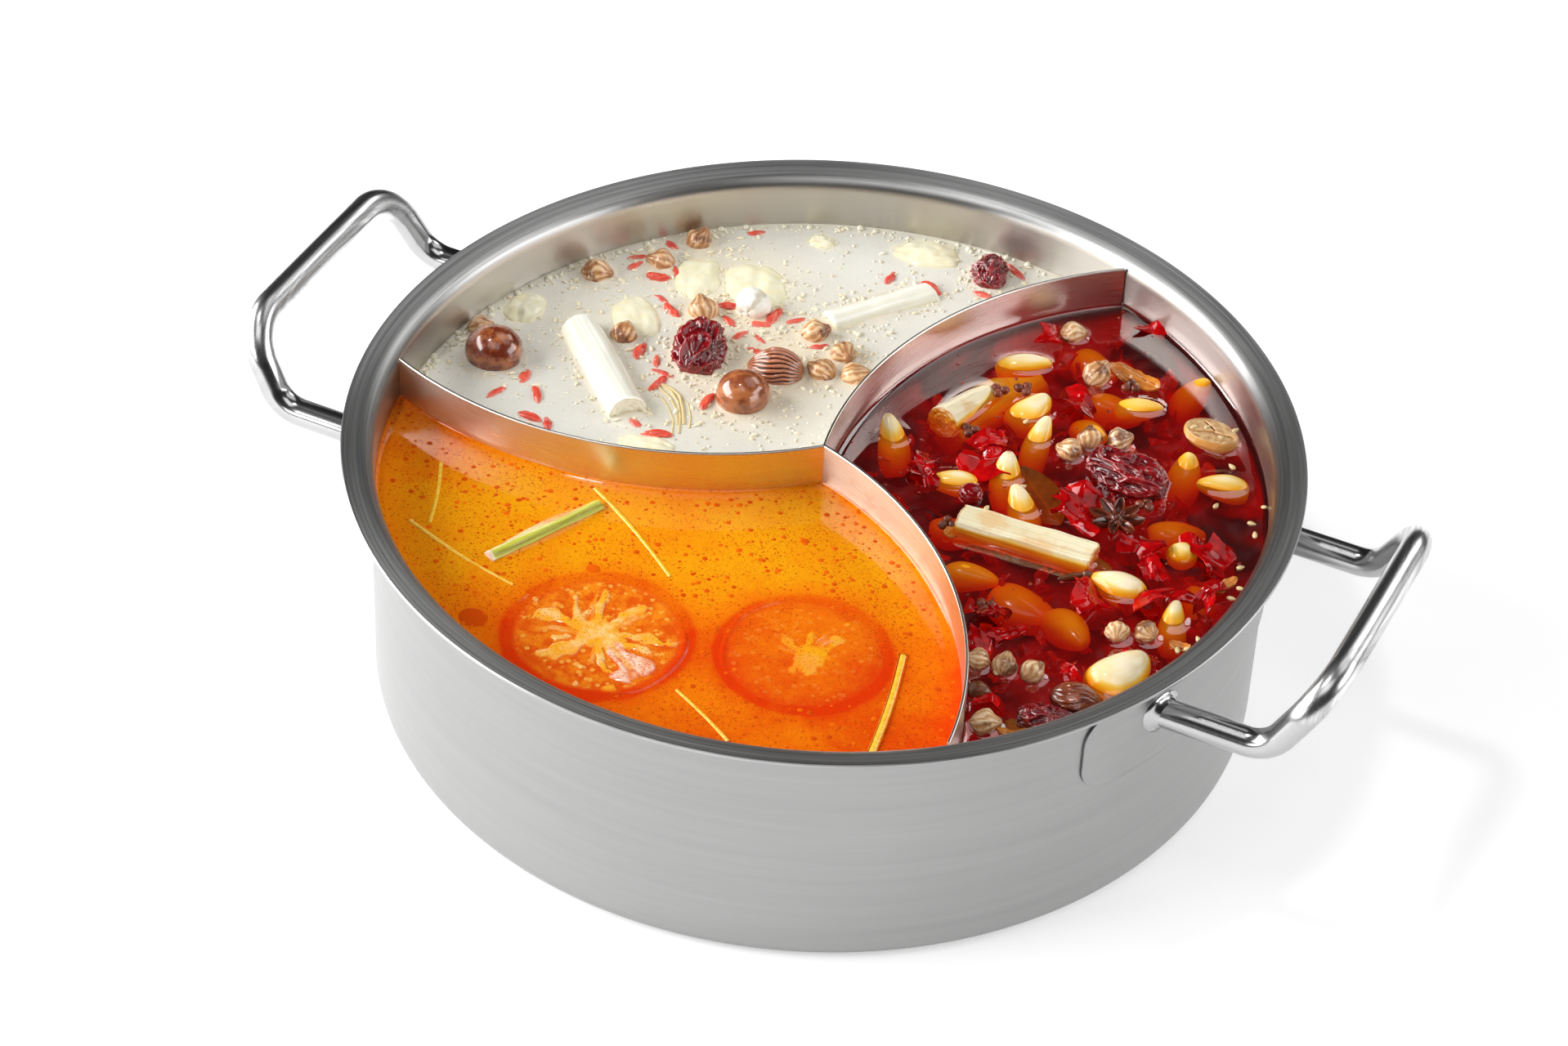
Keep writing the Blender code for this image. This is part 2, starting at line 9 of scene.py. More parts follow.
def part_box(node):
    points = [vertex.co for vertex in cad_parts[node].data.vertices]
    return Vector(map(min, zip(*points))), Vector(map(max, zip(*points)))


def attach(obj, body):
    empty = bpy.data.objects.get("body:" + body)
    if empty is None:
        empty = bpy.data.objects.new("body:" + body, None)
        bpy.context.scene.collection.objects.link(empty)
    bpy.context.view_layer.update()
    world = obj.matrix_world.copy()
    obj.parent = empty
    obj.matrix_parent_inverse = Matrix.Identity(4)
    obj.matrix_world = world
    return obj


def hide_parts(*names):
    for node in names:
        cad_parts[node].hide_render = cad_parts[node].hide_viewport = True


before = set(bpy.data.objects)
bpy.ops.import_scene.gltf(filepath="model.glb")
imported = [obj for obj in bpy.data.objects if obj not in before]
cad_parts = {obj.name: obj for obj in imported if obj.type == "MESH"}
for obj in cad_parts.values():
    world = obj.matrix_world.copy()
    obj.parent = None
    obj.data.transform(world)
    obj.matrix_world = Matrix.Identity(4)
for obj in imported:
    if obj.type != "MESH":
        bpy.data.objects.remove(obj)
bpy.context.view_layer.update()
mm = 0.001
bpy.context.scene.view_settings.view_transform = "Standard"


def operator(kind, swapped=False):  # what + or * does to a link: it adds a Math node
    def apply(self, other):
        return self.math(kind, *((other, self) if swapped else (self, other)))
    return apply


class Link:  # a node's output, which can stand in an expression
    __add__ = __radd__ = operator("ADD")
    __sub__, __rsub__ = operator("SUBTRACT"), operator("SUBTRACT", swapped=True)
    __mul__ = __rmul__ = operator("MULTIPLY")
    __truediv__ = operator("DIVIDE")
    __pow__, __rpow__ = operator("POWER"), operator("POWER", swapped=True)
    __gt__ = operator("GREATER_THAN")

    def __init__(self, tree, socket):
        self.tree, self.socket = tree, socket

    def math(self, operation, *values):
        return self.tree.node("ShaderNodeMath", {"operation": operation}, dict(enumerate(values)))

    def clamped(self, low=0.0, high=1.0):
        return self.math("MINIMUM", self.math("MAXIMUM", self, low), high)

    def between(self, low, high):  # 0 at low, 1 at high, smooth in between
        return self.tree.node(
            "ShaderNodeMapRange", {"interpolation_type": "SMOOTHSTEP"},
            {"Value": self, "From Min": low, "From Max": high},
        )


def linear(red, green, blue):  # from the 0 to 255 values of a colour picker
    channels = [c / 255 for c in (red, green, blue)]
    return (*[c / 12.92 if c < 0.04045 else ((c + 0.055) / 1.055) ** 2.4 for c in channels], 1.0)


class Nodes:
    def __init__(self, tree, material=None):
        self.tree, self.material = tree, material

    def node(self, kind, settings=None, values=None, out=0):
        made = self.tree.nodes.new(kind)
        for name, value in (settings or {}).items():
            setattr(made, name, value)
        for name, value in (values or {}).items():
            if isinstance(value, Link):
                self.tree.links.new(value.socket, made.inputs[name])
            else:
                made.inputs[name].default_value = value
        return Link(self, made.outputs[out]) if made.outputs else None

    def mix(self, share, first, second, blend="MIX"):  # a colour of three numbers is a colour picker's
        first, second = [linear(*c) if isinstance(c, tuple) and len(c) == 3 else c for c in (first, second)]
        return self.node(
            "ShaderNodeMix", {"data_type": "RGBA", "blend_type": blend},
            {0: share, 6: first, 7: second}, out=2,
        )

    def tinted(self, colour, tint):
        return self.mix(1.0, colour, tint, "MULTIPLY")

    def place(self):  # object coordinates
        return self.node("ShaderNodeTexCoord", out=3)

    def parts(self, vector):
        split = self.node("ShaderNodeSeparateXYZ", {}, {0: vector})
        return [Link(self, socket) for socket in split.socket.node.outputs]

    def height(self):  # in mm
        return self.parts(self.place())[2] / mm

    def vector(self, x, y, z):
        return self.node("ShaderNodeCombineXYZ", {}, {0: x, 1: y, 2: z})

    def attribute(self, name):  # a number stored on the mesh
        return self.node("ShaderNodeAttribute", {"attribute_name": name}, out=2)

    def noise(self, scale, detail=2.0, roughness=0.5, distortion=0.0, vector=None):
        values = {"Vector": vector or self.place(), "Scale": scale, "Detail": detail}
        values.update({"Roughness": roughness, "Distortion": distortion})
        return self.node("ShaderNodeTexNoise", {}, values)

    def dots(self, scale, inner, outer):  # 1 at the points of a random scatter, 0 away from them
        cells = self.node("ShaderNodeTexVoronoi", {}, {"Vector": self.place(), "Scale": scale})
        return 1 - cells.between(inner, outer)

    def bump(self, height, strength, depth):  # depth in mm
        values = {"Height": height, "Strength": strength, "Distance": depth * mm}
        return self.node("ShaderNodeBump", {}, values)


def newMaterial(name):
    material = bpy.data.materials.new(name)
    material.use_nodes = True
    material.node_tree.nodes.clear()
    return Nodes(material.node_tree, material)


def finished(nodes, shader):
    nodes.node("ShaderNodeOutputMaterial", {}, {"Surface": shader})
    return nodes.material


def principled(nodes, **values):  # Base_Color stands for Base Color, and so on
    values = {name.replace("_", " "): value for name, value in values.items()}
    return finished(nodes, nodes.node("ShaderNodeBsdfPrincipled", {}, values))


def addObject(name, data):
    obj = bpy.data.objects.new(name, data)
    bpy.context.scene.collection.objects.link(obj)
    return obj


def baked(obj, name):  # the object's mesh with its modifiers applied; the object goes
    bpy.context.view_layer.update()
    shape = obj.evaluated_get(bpy.context.evaluated_depsgraph_get())
    mesh = bpy.data.meshes.new_from_object(shape)
    mesh.name = name
    bpy.data.objects.remove(obj, do_unlink=True)
    return mesh


def meshFrom(bm, name):
    mesh = bpy.data.meshes.new(name)
    bm.to_mesh(mesh)
    bm.free()
    return mesh


def meshOf(name, points, edges=(), faces=(), **values):  # values are numbers stored on its points
    mesh = bpy.data.meshes.new(name)
    mesh.from_pydata(points, edges, faces)
    for key, numbers in values.items():
        mesh.attributes.new(key, "FLOAT", "POINT").data.foreach_set("value", numbers)
    return mesh


def facingOut(mesh):
    bm = bmesh.new()
    bm.from_mesh(mesh)
    bmesh.ops.recalc_face_normals(bm, faces=bm.faces)
    bm.to_mesh(mesh)
    bm.free()
    return mesh


def vertRows(bm, x, y, z, values=None):  # a vertex for each point of a grid in mm, with its values
    layers = {key: bm.verts.layers.float.new(key) for key in (values or {})}
    rows = [[bm.verts.new(point) for point in line] for line in (np.stack([x, y, z], -1) * mm).tolist()]
    for key, layer in layers.items():
        for row, numbers in zip(rows, values[key].tolist()):
            for vert, number in zip(row, numbers):
                vert[layer] = number
    return rows


def joinRows(bm, rows, closed=False, slot=0):  # quads between rows of vertices
    count = len(rows[0])
    for low, high in zip(rows, rows[1:]):
        for j in range(count if closed else count - 1):
            after = (j + 1) % count
            bm.faces.new((low[j], high[j], high[after], low[after])).material_index = slot


def addPiece(name, mesh, material, nodes=(), sharp=40.0):
    if material:
        mesh.materials.clear()
        mesh.materials.append(material)
    mesh.shade_smooth()
    mesh.set_sharp_from_angle(angle=math.radians(sharp))
    piece = addObject(name, mesh)
    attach(piece, "root")
    if nodes:
        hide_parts(*nodes)


def geometryTree(name, inputs):
    group = bpy.data.node_groups.new(name, "GeometryNodeTree")
    kinds = {float: "NodeSocketFloat", int: "NodeSocketInt", str: "NodeSocketObject"}
    group.interface.new_socket("Geometry", in_out="INPUT", socket_type="NodeSocketGeometry")
    for label, value in inputs.items():
        made = group.interface.new_socket(label, in_out="INPUT", socket_type=kinds[type(value)])
        if not isinstance(value, str):
            made.default_value = value
    group.interface.new_socket("Material", in_out="INPUT", socket_type="NodeSocketMaterial")
    group.interface.new_socket("Geometry", in_out="OUTPUT", socket_type="NodeSocketGeometry")
    nodes = Nodes(group)
    entry = nodes.node("NodeGroupInput")
    given = {s.name: Link(nodes, s) for s in entry.socket.node.outputs if s.name}
    return group, nodes, given


def closeTree(nodes, given, geometry):  # every tree ends with real geometry and its material
    real = nodes.node("GeometryNodeRealizeInstances", {}, {0: geometry})
    values = {"Geometry": real, "Material": given["Material"]}
    nodes.node("NodeGroupOutput", {}, {0: nodes.node("GeometryNodeSetMaterial", {}, values)})


def throughTree(name, mesh, group, values):
    obj = addObject(name + "Source", mesh)
    modifier = obj.modifiers.new(group.name, "NODES")
    modifier.node_group = group
    for item in group.interface.items_tree:
        if item.in_out == "INPUT" and item.name in values:
            modifier[item.identifier] = values[item.name]
    return baked(obj, name)


cameraView = {
    "azimuth": 23.6, "elevation": 38.53, "distance": 1.44,  # from the middle of the rim
    "roll": 3.27, "pan": -0.476, "tilt": -1.169, "lens": 99.7,
}


def placeCamera():
    look = {name: math.radians(value) for name, value in cameraView.items()}
    flat = cameraView["distance"] * math.cos(look["elevation"])
    back = Vector((0, -flat, cameraView["distance"] * math.sin(look["elevation"])))
    forward = -back.normalized()
    right = forward.cross(Vector((0, 0, 1))).normalized()
    up = right.cross(forward)
    turns = Matrix.Rotation(-look["pan"], 3, up)
    forward, right = turns @ forward, turns @ right
    turns = Matrix.Rotation(look["tilt"], 3, right)
    forward, up = turns @ forward, turns @ up
    turns = Matrix.Rotation(-look["roll"], 3, forward)
    right, up = turns @ right, turns @ up
    around = Matrix.Rotation(look["azimuth"], 3, "Z")
    basis = around @ Matrix((right, up, -forward)).transposed()
    spot = around @ back + Vector((0, 0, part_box("pot_body")[1].z))
    camera = addObject("camera", bpy.data.cameras.new("camera"))
    camera.data.lens = cameraView["lens"]
    camera.data.sensor_width = 36
    camera.matrix_world = Matrix.Translation(spot) @ basis.to_4x4()
    bpy.context.scene.camera = camera


softboxes = {  # azimuth and elevation seen from the pot, distance and size in metres, power
    "leftBox": (-69, 27, 1.7, 1.85, 0.9, 48),
    "rightBox": (108, 25, 1.9, 1.6, 0.8, 18),
    "topBox": (150, 62, 1.7, 1.3, 0.8, 3.4),
    "frontBox": (14, 66, 2.2, 1.4, 0.9, 6.0),
    "keyBox": (-66, 74, 1.7, 0.16, 0.13, 3.5),
    "backBox": (160, 37, 2.3, 0.9, 0.65, 5.0),
    "lowBox": (-26, 16, 2.2, 0.7, 0.4, 6.0),
}
worldLight = 0.018
floorLooks = {"grey": 0.86, "glow": 0.40, "size": 6.0, "drop": 0.2}  # the drop is in mm


def placeLights():
    for name, (azimuth, elevation, distance, width, height, power) in softboxes.items():
        a, e = math.radians(azimuth), math.radians(elevation)
        spot = Vector((math.sin(a) * math.cos(e), -math.cos(a) * math.cos(e), math.sin(e))) * distance
        light = bpy.data.lights.new(name, "AREA")
        light.shape = "RECTANGLE"
        light.size, light.size_y, light.energy = width, height, power
        obj = addObject(name, light)
        obj.location = spot
        obj.rotation_euler = (-spot).to_track_quat("-Z", "Y").to_euler()
    world = bpy.data.worlds.new("studio")
    world.use_nodes = True
    world.node_tree.nodes.clear()
    nodes = Nodes(world.node_tree)
    glow = nodes.node("ShaderNodeBackground", {}, {"Color": (1, 1, 1, 1), "Strength": worldLight})
    nodes.node("ShaderNodeOutputWorld", {}, {"Surface": glow})
    bpy.context.scene.world = world


def placeFloor():
    bm = bmesh.new()
    bmesh.ops.create_grid(bm, x_segments=1, y_segments=1, size=floorLooks["size"])
    floor = addObject("floor", meshFrom(bm, "floor"))
    floor.data.materials.append(principled(
        newMaterial("paleFloor"), Base_Color=(*[floorLooks["grey"]] * 3, 1), Roughness=0.8,
        Specular_IOR_Level=0.2, Emission_Color=(1, 1, 1, 1), Emission_Strength=floorLooks["glow"],
    ))
    floor.location.z = -floorLooks["drop"] * mm


steelLooks = {
    "brushed": {"colour": (0.44, 0.44, 0.437, 1), "roughness": 0.33, "streaks": 0.08, "relief": 0.03,
                "stretch": 0.75, "outward": 1.0},
    # painted light: the vanes' steel is made brighter and a little warmer than the pot's, as if lit by the
    # broths
    "divider": {"colour": (0.64, 0.62, 0.61, 1), "roughness": 0.29, "streaks": 0.12, "relief": 0.03,
                "stretch": 0.5, "outward": 0.0},
    "polished": {"colour": (0.60, 0.60, 0.60, 1), "roughness": 0.19, "streaks": 0.06, "relief": 0.02,
                 "stretch": 0.0, "outward": 1.0},
}
brushing = {"along": 30.0, "across": 2600.0}  # how fine its lines are
# heights and radii over which the lip's rougher, streaked finish and its painted light set in, and over which
# the inside's painted light and painted warm reflection set in
lipZone = {"height": (87.5, 91.0), "radius": (149.5, 150.8)}
insidePaintedLightZone = {"height": (2.0, 4.0), "radius": (149.3, 149.9)}


def makeSteel(name):
    looks, nodes = steelLooks[name], newMaterial(name + "Steel")
    along, across = brushing["along"], brushing["across"]
    x, y, z = nodes.parts(nodes.place())
    outward = (x * x + y * y) ** 0.5
    line = outward * looks["outward"] + z  # grows up the wall and out over the lip
    fine = nodes.noise(1.0, 3.0, vector=nodes.vector(x * along, y * along, line * across))
    broad = nodes.noise(1.0, 2.0, vector=nodes.vector(x * along / 4, y * along / 4, line * across / 9))
    cloud = nodes.noise(14.0, 3.0)
    ring, height = outward / mm, z / mm
    lip = height.between(*lipZone["height"]) * ring.between(*lipZone["radius"])
    inside = height.between(*insidePaintedLightZone["height"]) * (1 - ring.between(*insidePaintedLightZone["radius"]))
    roughness = looks["roughness"] + (fine - 0.5) * looks["streaks"] + (cloud - 0.5) * 0.06 + lip * 0.08
    rings = nodes.noise(1.0, 4.0, 0.7, vector=nodes.vector(x * 7, y * 7, ring * 0.8))
    streaks = ((broad - 0.5) * 2.6 + (fine - 0.5) * 1.6) * 0.05 + (rings - 0.5) * lip * 2.6
    # painted light: the lip and the inside of the pot are made brighter than the rest of the steel; the
    # streaks are the brushing
    shade = (0.84 + streaks + inside * 0.44 + lip * 0.26).clamped(0.3, 1.8)
    # painted reflection: the inside is tinted warm, as if it mirrored the broths
    colour = nodes.vector(shade, shade * (1 - inside * 0.05), shade * (1 - inside * 0.11))
    return principled(
        nodes, Base_Color=nodes.tinted(colour, looks["colour"]), Metallic=1.0,
        Anisotropic=looks["stretch"], Anisotropic_Rotation=0.25, Roughness=roughness.clamped(0.05, 0.8),
        Normal=nodes.bump(fine + broad, 0.12 + looks["streaks"], looks["relief"]),
    )


potForm = {
    "bodyRadius": 150.3, "wall": 1.2, "baseCorner": 5.0, "flareRadius": 4.5, "lipSlope": 10.0,
    "edge": 0.35, "turns": 240, "arcSteps": 12,
}


def arcPoints(centre, radius, start, end, steps):
    angles = np.linspace(start, end, steps + 1)
    return [(centre[0] + radius * math.cos(a), centre[1] + radius * math.sin(a)) for a in angles]


def potLine(inset):  # the section from the middle of the base to the lip's edge
    top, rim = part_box("pot_body")[1].z / mm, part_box("pot_body")[1].x / mm
    body, corner, flare = potForm["bodyRadius"], potForm["baseCorner"], potForm["flareRadius"]
    slope = math.radians(potForm["lipSlope"])
    inner, turn, steps = flare + potForm["wall"], math.pi / 2 + slope, potForm["arcSteps"]
    centreR = body + flare
    lipRise = (rim - centreR - inner * math.cos(turn)) * math.tan(slope)
    centreZ = top - inner * math.sin(turn) - lipRise
    line = [(0.0, inset)] + arcPoints((body - corner, corner), corner - inset, -math.pi / 2, 0, steps)
    line += arcPoints((centreR, centreZ), flare + inset, math.pi, turn, steps)
    edge = line[-1][1] + (rim - line[-1][0]) * math.tan(slope)
    rounding = potForm["edge"]
    line.append((rim - rounding, edge - rounding * math.tan(slope)))
    return line + [(rim, edge + 0.3 * (-1 if inset else 1))]


def turned(name, section, steps):  # a section that runs down its outer side, turned about Z
    points = [(r * mm, 0.0, z * mm) for r, z in section]
    obj = addObject(name, meshOf(name, points, [(i, i + 1) for i in range(len(section) - 1)]))
    turn = obj.modifiers.new("turn", "SCREW")
    turn.steps = turn.render_steps = steps
    turn.use_merge_vertices = True
    turn.merge_threshold = 1e-6
    return baked(obj, name)


def makePot(steel):
    section = potLine(potForm["wall"]) + potLine(0.0)[::-1]
    mesh = turned("potShell", section, potForm["turns"])
    addPiece("potShell", mesh, steel, ["pot_body"])


vaneForm = {
    "radius": 137.0, "thickness": 1.2, "heading": 103.4, "top": 89.5, "foot": 1.5, "start": 0.3,
    "steps": 72,
}


def vanePoint(index, distance):  # on a vane's middle, at that distance from the pot's axis
    heading = math.radians(vaneForm["heading"] + 120 * index)
    centre = Vector((math.sin(heading), -math.cos(heading))) * vaneForm["radius"]
    angle = heading + math.pi / 2 - 2 * math.asin(distance / (2 * vaneForm["radius"]))
    return centre + Vector((math.cos(angle), math.sin(angle))) * vaneForm["radius"]


def pathMesh(points, bends=None):
    links = [(i, i + 1) for i in range(len(points) - 1)]
    return meshOf("path", [tuple(p) for p in points], links, **({"bend": bends} if bends else {}))


def sheetTree():  # a tall thin sheet with rounded edges that follows a path
    group, nodes, given = geometryTree("sheetOnPath", {"Thickness": 0.001, "Height": 0.08})
    path = nodes.node("GeometryNodeMeshToCurve", {}, {"Mesh": given["Geometry"]})
    path = nodes.node("GeometryNodeSetCurveNormal", {"mode": "Z_UP"}, {"Curve": path})
    sizes = {"Width": given["Thickness"], "Height": given["Height"]}
    outline = nodes.node("GeometryNodeCurvePrimitiveQuadrilateral", {}, sizes)
    rounding = {"Curve": outline, "Count": 5, "Radius": given["Thickness"] * 0.42}
    outline = nodes.node("GeometryNodeFilletCurve", {"mode": "POLY"}, rounding)
    swept = {"Curve": path, "Profile Curve": outline, "Fill Caps": True}
    closeTree(nodes, given, nodes.node("GeometryNodeCurveToMesh", {}, swept))
    return group


def rodTree():  # a round rod along a path whose corners are bent to their own radius
    group, nodes, given = geometryTree("bentRod", {"Rod Radius": 0.005, "Around": 24})
    path = nodes.node("GeometryNodeMeshToCurve", {}, {"Mesh": given["Geometry"]})
    bend = nodes.node("GeometryNodeInputNamedAttribute", {"data_type": "FLOAT"}, {"Name": "bend"})
    rounding = {"Curve": path, "Count": 16, "Radius": bend}
    path = nodes.node("GeometryNodeFilletCurve", {"mode": "POLY"}, rounding)
    sizes = {"Resolution": given["Around"], "Radius": given["Rod Radius"]}
    outline = nodes.node("GeometryNodeCurvePrimitiveCircle", {}, sizes)
    swept = {"Curve": path, "Profile Curve": outline, "Fill Caps": True}
    closeTree(nodes, given, nodes.node("GeometryNodeCurveToMesh", {}, swept))
    return group


sheetGroup, rodGroup = sheetTree(), rodTree()


def addSheet(name, points, thickness, height, material, nodes=(), sharp=40.0):
    values = {"Thickness": thickness * mm, "Height": height * mm, "Material": material}
    addPiece(name, throughTree(name, pathMesh(points), sheetGroup, values), None, nodes, sharp)


def addRod(name, points, bends, radius, around, material, nodes=(), sharp=40.0):
    values = {"Rod Radius": radius * mm, "Around": around, "Material": material}
    addPiece(name, throughTree(name, pathMesh(points, bends), rodGroup, values), None, nodes, sharp)


def makeVanes(steel):
    top, foot = vaneForm["top"], vaneForm["foot"]
    reach = potForm["bodyRadius"] - potForm["wall"] - 0.3
    for index in range(3):
        distances = np.linspace(vaneForm["start"], reach, vaneForm["steps"])
        points = [(*(vanePoint(index, d) * mm), (top + foot) / 2 * mm) for d in distances]
        name, node = f"dividerSheet{index + 1}", f"divider_vane_{index + 1}"
        addSheet(name, points, vaneForm["thickness"], top - foot, steel, [node])


handleForm = {
    "rod": 4.9, "legSpacing": 100.0, "gripSpacing": 92.0, "legZ": 72.0, "legReach": 179.4,
    "gripReach": 194.5, "gripZ": 98.0, "lowerBend": 13.0, "upperBend": 17.0, "around": 40,
}
plateForm = {
    "thickness": 0.8, "halfAngle": 31.5, "low": 52.5, "high": 84.0, "corner": 11.0, "gap": 0.3,
    "edge": 0.25, "columns": 81, "rows": 11,
}
collarForm = {
    "around": 48, "waves": 0.12,
    "profile": [  # reach past the rod and height above the plate
        (2.6, -0.4), (2.5, 0.25), (1.5, 0.7), (0.7, 1.4), (0.15, 2.6), (-0.1, 3.0), (-0.5, 2.4), (-0.5, -0.4),
    ],
}
sides = {"right": 0.0, "left": math.pi}


def wallAt(y, out):  # how far along X the outer wall is, with something out mm thick on it
    return math.sqrt((potForm["bodyRadius"] + out) ** 2 - y * y)


def makeHandles(steel):
    form, leg = handleForm, handleForm["legSpacing"] / 2
    half = [
        (wallAt(leg, 0.0) + 1.2, leg, form["legZ"], 0.0),
        (form["legReach"], leg, form["legZ"], form["lowerBend"]),
        (form["gripReach"], form["gripSpacing"] / 2, form["gripZ"], form["upperBend"]),
    ]
    corners = half + [(x, -y, z, bend) for x, y, z, bend in reversed(half)]
    for side, turn in sides.items():
        points = [Matrix.Rotation(turn, 3, "Z") @ Vector(c[:3]) * mm for c in corners]
        addRod(f"handleRod_{side}", points, [c[3] * mm for c in corners], form["rod"], form["around"],
               steel, [f"handle_{side}"])


def makeCollars(steel):  # the welds round the roots of the rods follow the round plate
    form, around = handleForm, collarForm["around"]
    plate = plateForm["gap"] + plateForm["thickness"]
    for side, facing in (("right", 1), ("left", -1)):
        bm = bmesh.new()
        for leg in (form["legSpacing"] / 2, -form["legSpacing"] / 2):
            rings = []
            for extra, height in collarForm["profile"]:
                ring = []
                for i in range(around):
                    angle = 2 * math.pi * i / around
                    reach = form["rod"] + extra * (1 + collarForm["waves"] * math.sin(3 * angle + leg))
                    y, z = leg + reach * math.cos(angle), form["legZ"] + reach * math.sin(angle)
                    x = wallAt(y, plate) + height
                    ring.append(bm.verts.new((x * facing * mm, y * facing * mm, z * mm)))
                rings.append(ring)
            joinRows(bm, rings + rings[:1], closed=True)
        bmesh.ops.recalc_face_normals(bm, faces=bm.faces)
        addPiece(f"rodCollars_{side}", meshFrom(bm, f"rodCollars_{side}"), steel, sharp=60)


def makePlates(steel):
    form = plateForm
    radius = (potForm["bodyRadius"] + form["gap"] * 0.4) * mm
    half, corner = math.radians(form["halfAngle"]), form["corner"] / potForm["bodyRadius"]
    for side, turn in sides.items():
        bm = bmesh.new()
        columns = []
        for share in np.sin(np.linspace(-math.pi / 2, math.pi / 2, form["columns"])):
            angle = share * half
            into = max(0.0, abs(angle) - (half - corner)) / corner
            trim = form["corner"] * (1 - math.sqrt(max(0.0, 1 - min(1.0, into) ** 2)))
            x, y = radius * math.cos(angle + turn), radius * math.sin(angle + turn)
            heights = np.linspace(form["low"] + trim, form["high"] - trim, form["rows"])
            columns.append([bm.verts.new((x, y, h * mm)) for h in heights])
        joinRows(bm, columns)
        bmesh.ops.remove_doubles(bm, verts=bm.verts, dist=0.02 * mm)
        obj = addObject("plateSource", meshFrom(bm, "plateSource"))
        sheet = obj.modifiers.new("sheet", "SOLIDIFY")
        sheet.thickness, sheet.offset = form["thickness"] * mm, 1.0
        edge = obj.modifiers.new("edge", "BEVEL")
        edge.width, edge.segments, edge.limit_method = form["edge"] * mm, 2, "ANGLE"
        mesh = baked(obj, f"handlePlate_{side}")
        addPiece(mesh.name, mesh, steel, [f"handle_plate_{side}"])


placeCamera()
placeLights()
placeFloor()
print("camera, lights and floor are in place")
brushedSteel, dividerSteel, polishedSteel = [makeSteel(n) for n in ("brushed", "divider", "polished")]
makePot(brushedSteel)
makeVanes(dividerSteel)
makeHandles(polishedSteel)
makeCollars(polishedSteel)
makePlates(brushedSteel)
print("pot, dividers, handles and plates are made")

toppingGroups = {  # the CAD nodes that float in each broth
    "milky": ["nutmeg_left", "nutmeg_middle", "nutmeg_ridged", "jujube_milky_near", "jujube_milky_far",
              "white_cardamom", "scallion_milky_near", "scallion_milky_far"]
    + [f"pod_milky_{i}" for i in range(1, 10)],
    "tomato": ["tomato_slice_left", "tomato_slice_right", "green_stem"],
    "red": ["nutmeg_red", "jujube_red_far", "jujube_red_near", "scallion_red_far", "scallion_red_near",
            "garlic_half"]
    + [f"pod_red_{i}" for i in range(1, 12)] + [f"garlic_{i}" for i in range(1, 13)],
}
levels = {kind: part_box("broth_" + kind)[1].z / mm for kind in toppingGroups}


class Pose:  # a topping's middle, its three axes (the first runs to its thinner end) and half sizes
    def __init__(self, middle, axes, half):
        self.middle, self.axes, self.half = np.array(middle), np.array(axes), np.array(half)

    def moved(self, points):
        return self.middle + (points * self.half) @ self.axes

    def gap(self, x, y, z):  # rough distance to an ellipsoid of this size, over a flat grid
        offset = np.stack([x, y, np.full_like(x, z)], -1) - self.middle
        local = offset @ self.axes.T / self.half
        reach = np.sqrt((local ** 2).sum(-1)) + 1e-6
        slope = np.linalg.norm((local / self.half) @ self.axes, axis=-1) / reach + 1e-6
        return (reach - 1) / slope


def poseOf(node):  # in millimetres, from the spread of the node's points
    points = np.array([v.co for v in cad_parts[node].data.vertices]) / mm
    middle = points.mean(0)
    spread, directions = np.linalg.eigh(np.cov((points - middle).T))
    along = directions[:, 2]
    if abs(along[2]) > 0.8 or spread[2] < spread[1] * 1.1:  # upright or round: turned in the flat only
        flat = np.linalg.eigh(np.cov((points - middle)[:, :2].T))[1][:, 1]
        along = np.array([flat[0], flat[1], 0.0])
    across = np.cross([0, 0, 1], along)
    across /= np.linalg.norm(across)
    axes = np.array([along, across, np.cross(along, across)])
    local = (points - middle) @ axes.T
    if (local[:, 0] * np.hypot(local[:, 1], local[:, 2])).sum() > 0:
        axes[:2] *= -1
        local[:, :2] *= -1
    low, high = local.min(0), local.max(0)
    return Pose(middle + (low + high) / 2 @ axes, axes, (high - low) / 2)


poses = {node: poseOf(node) for group in toppingGroups.values() for node in group}


def flatPose(x, y, z, sizes, turn=0.0, tilt=0.0, lean=0.0):  # angles in degrees, sizes are whole lengths
    spin = Matrix.Rotation(math.radians(turn), 3, "Z") @ Matrix.Rotation(math.radians(-tilt), 3, "Y")
    spin = spin @ Matrix.Rotation(math.radians(lean), 3, "X")
    return Pose((x, y, z), np.array(spin).T, np.array(sizes) / 2)


brothForm = {
    "columns": 260, "rows": 150, "innerRadius": 149.05, "halfVane": 0.55,
    "wallRise": 1.3, "wallReach": 1.2, "itemRise": 0.75, "itemReach": 1.0,
    "foot": [(0.0, 5.2), (0.9, 2.6), (3.8, 1.3)],  # inset and height of the rings down to the base
}
compartments = {"milky": 0, "tomato": 1, "red": 2}


def compartmentPoints(index, distance, share, inset):
    half = np.arcsin(distance / (2 * vaneForm["radius"]))
    side = (brothForm["halfVane"] + inset) / np.cos(half)
    distance = np.clip(distance, side / math.sin(math.pi / 3), brothForm["innerRadius"] - inset)
    edge = np.arcsin(np.minimum(side / distance, 1.0))
    azimuth = math.radians(vaneForm["heading"] + 120 * index) - half
    azimuth = azimuth + edge + share * (2 * math.pi / 3 - 2 * edge)
    return distance * np.cos(azimuth), distance * np.sin(azimuth)


def brothGrid(index, inset=0.0):  # fine next to the walls, coarser in the middle
    rows = np.linspace(0, 1, brothForm["rows"])[:, None]
    columns = np.linspace(0, 1, brothForm["columns"])[None, :]
    distance = 0.5 + (brothForm["innerRadius"] - 0.5) * (0.35 * rows + 0.65 * np.sin(rows * math.pi / 2))
    share = 0.28 * columns + 0.72 * (0.5 - 0.5 * np.cos(columns * math.pi))
    distance, share = np.broadcast_arrays(distance, share)
    x, y = compartmentPoints(index, distance, share, inset)
    return distance, share, x, y


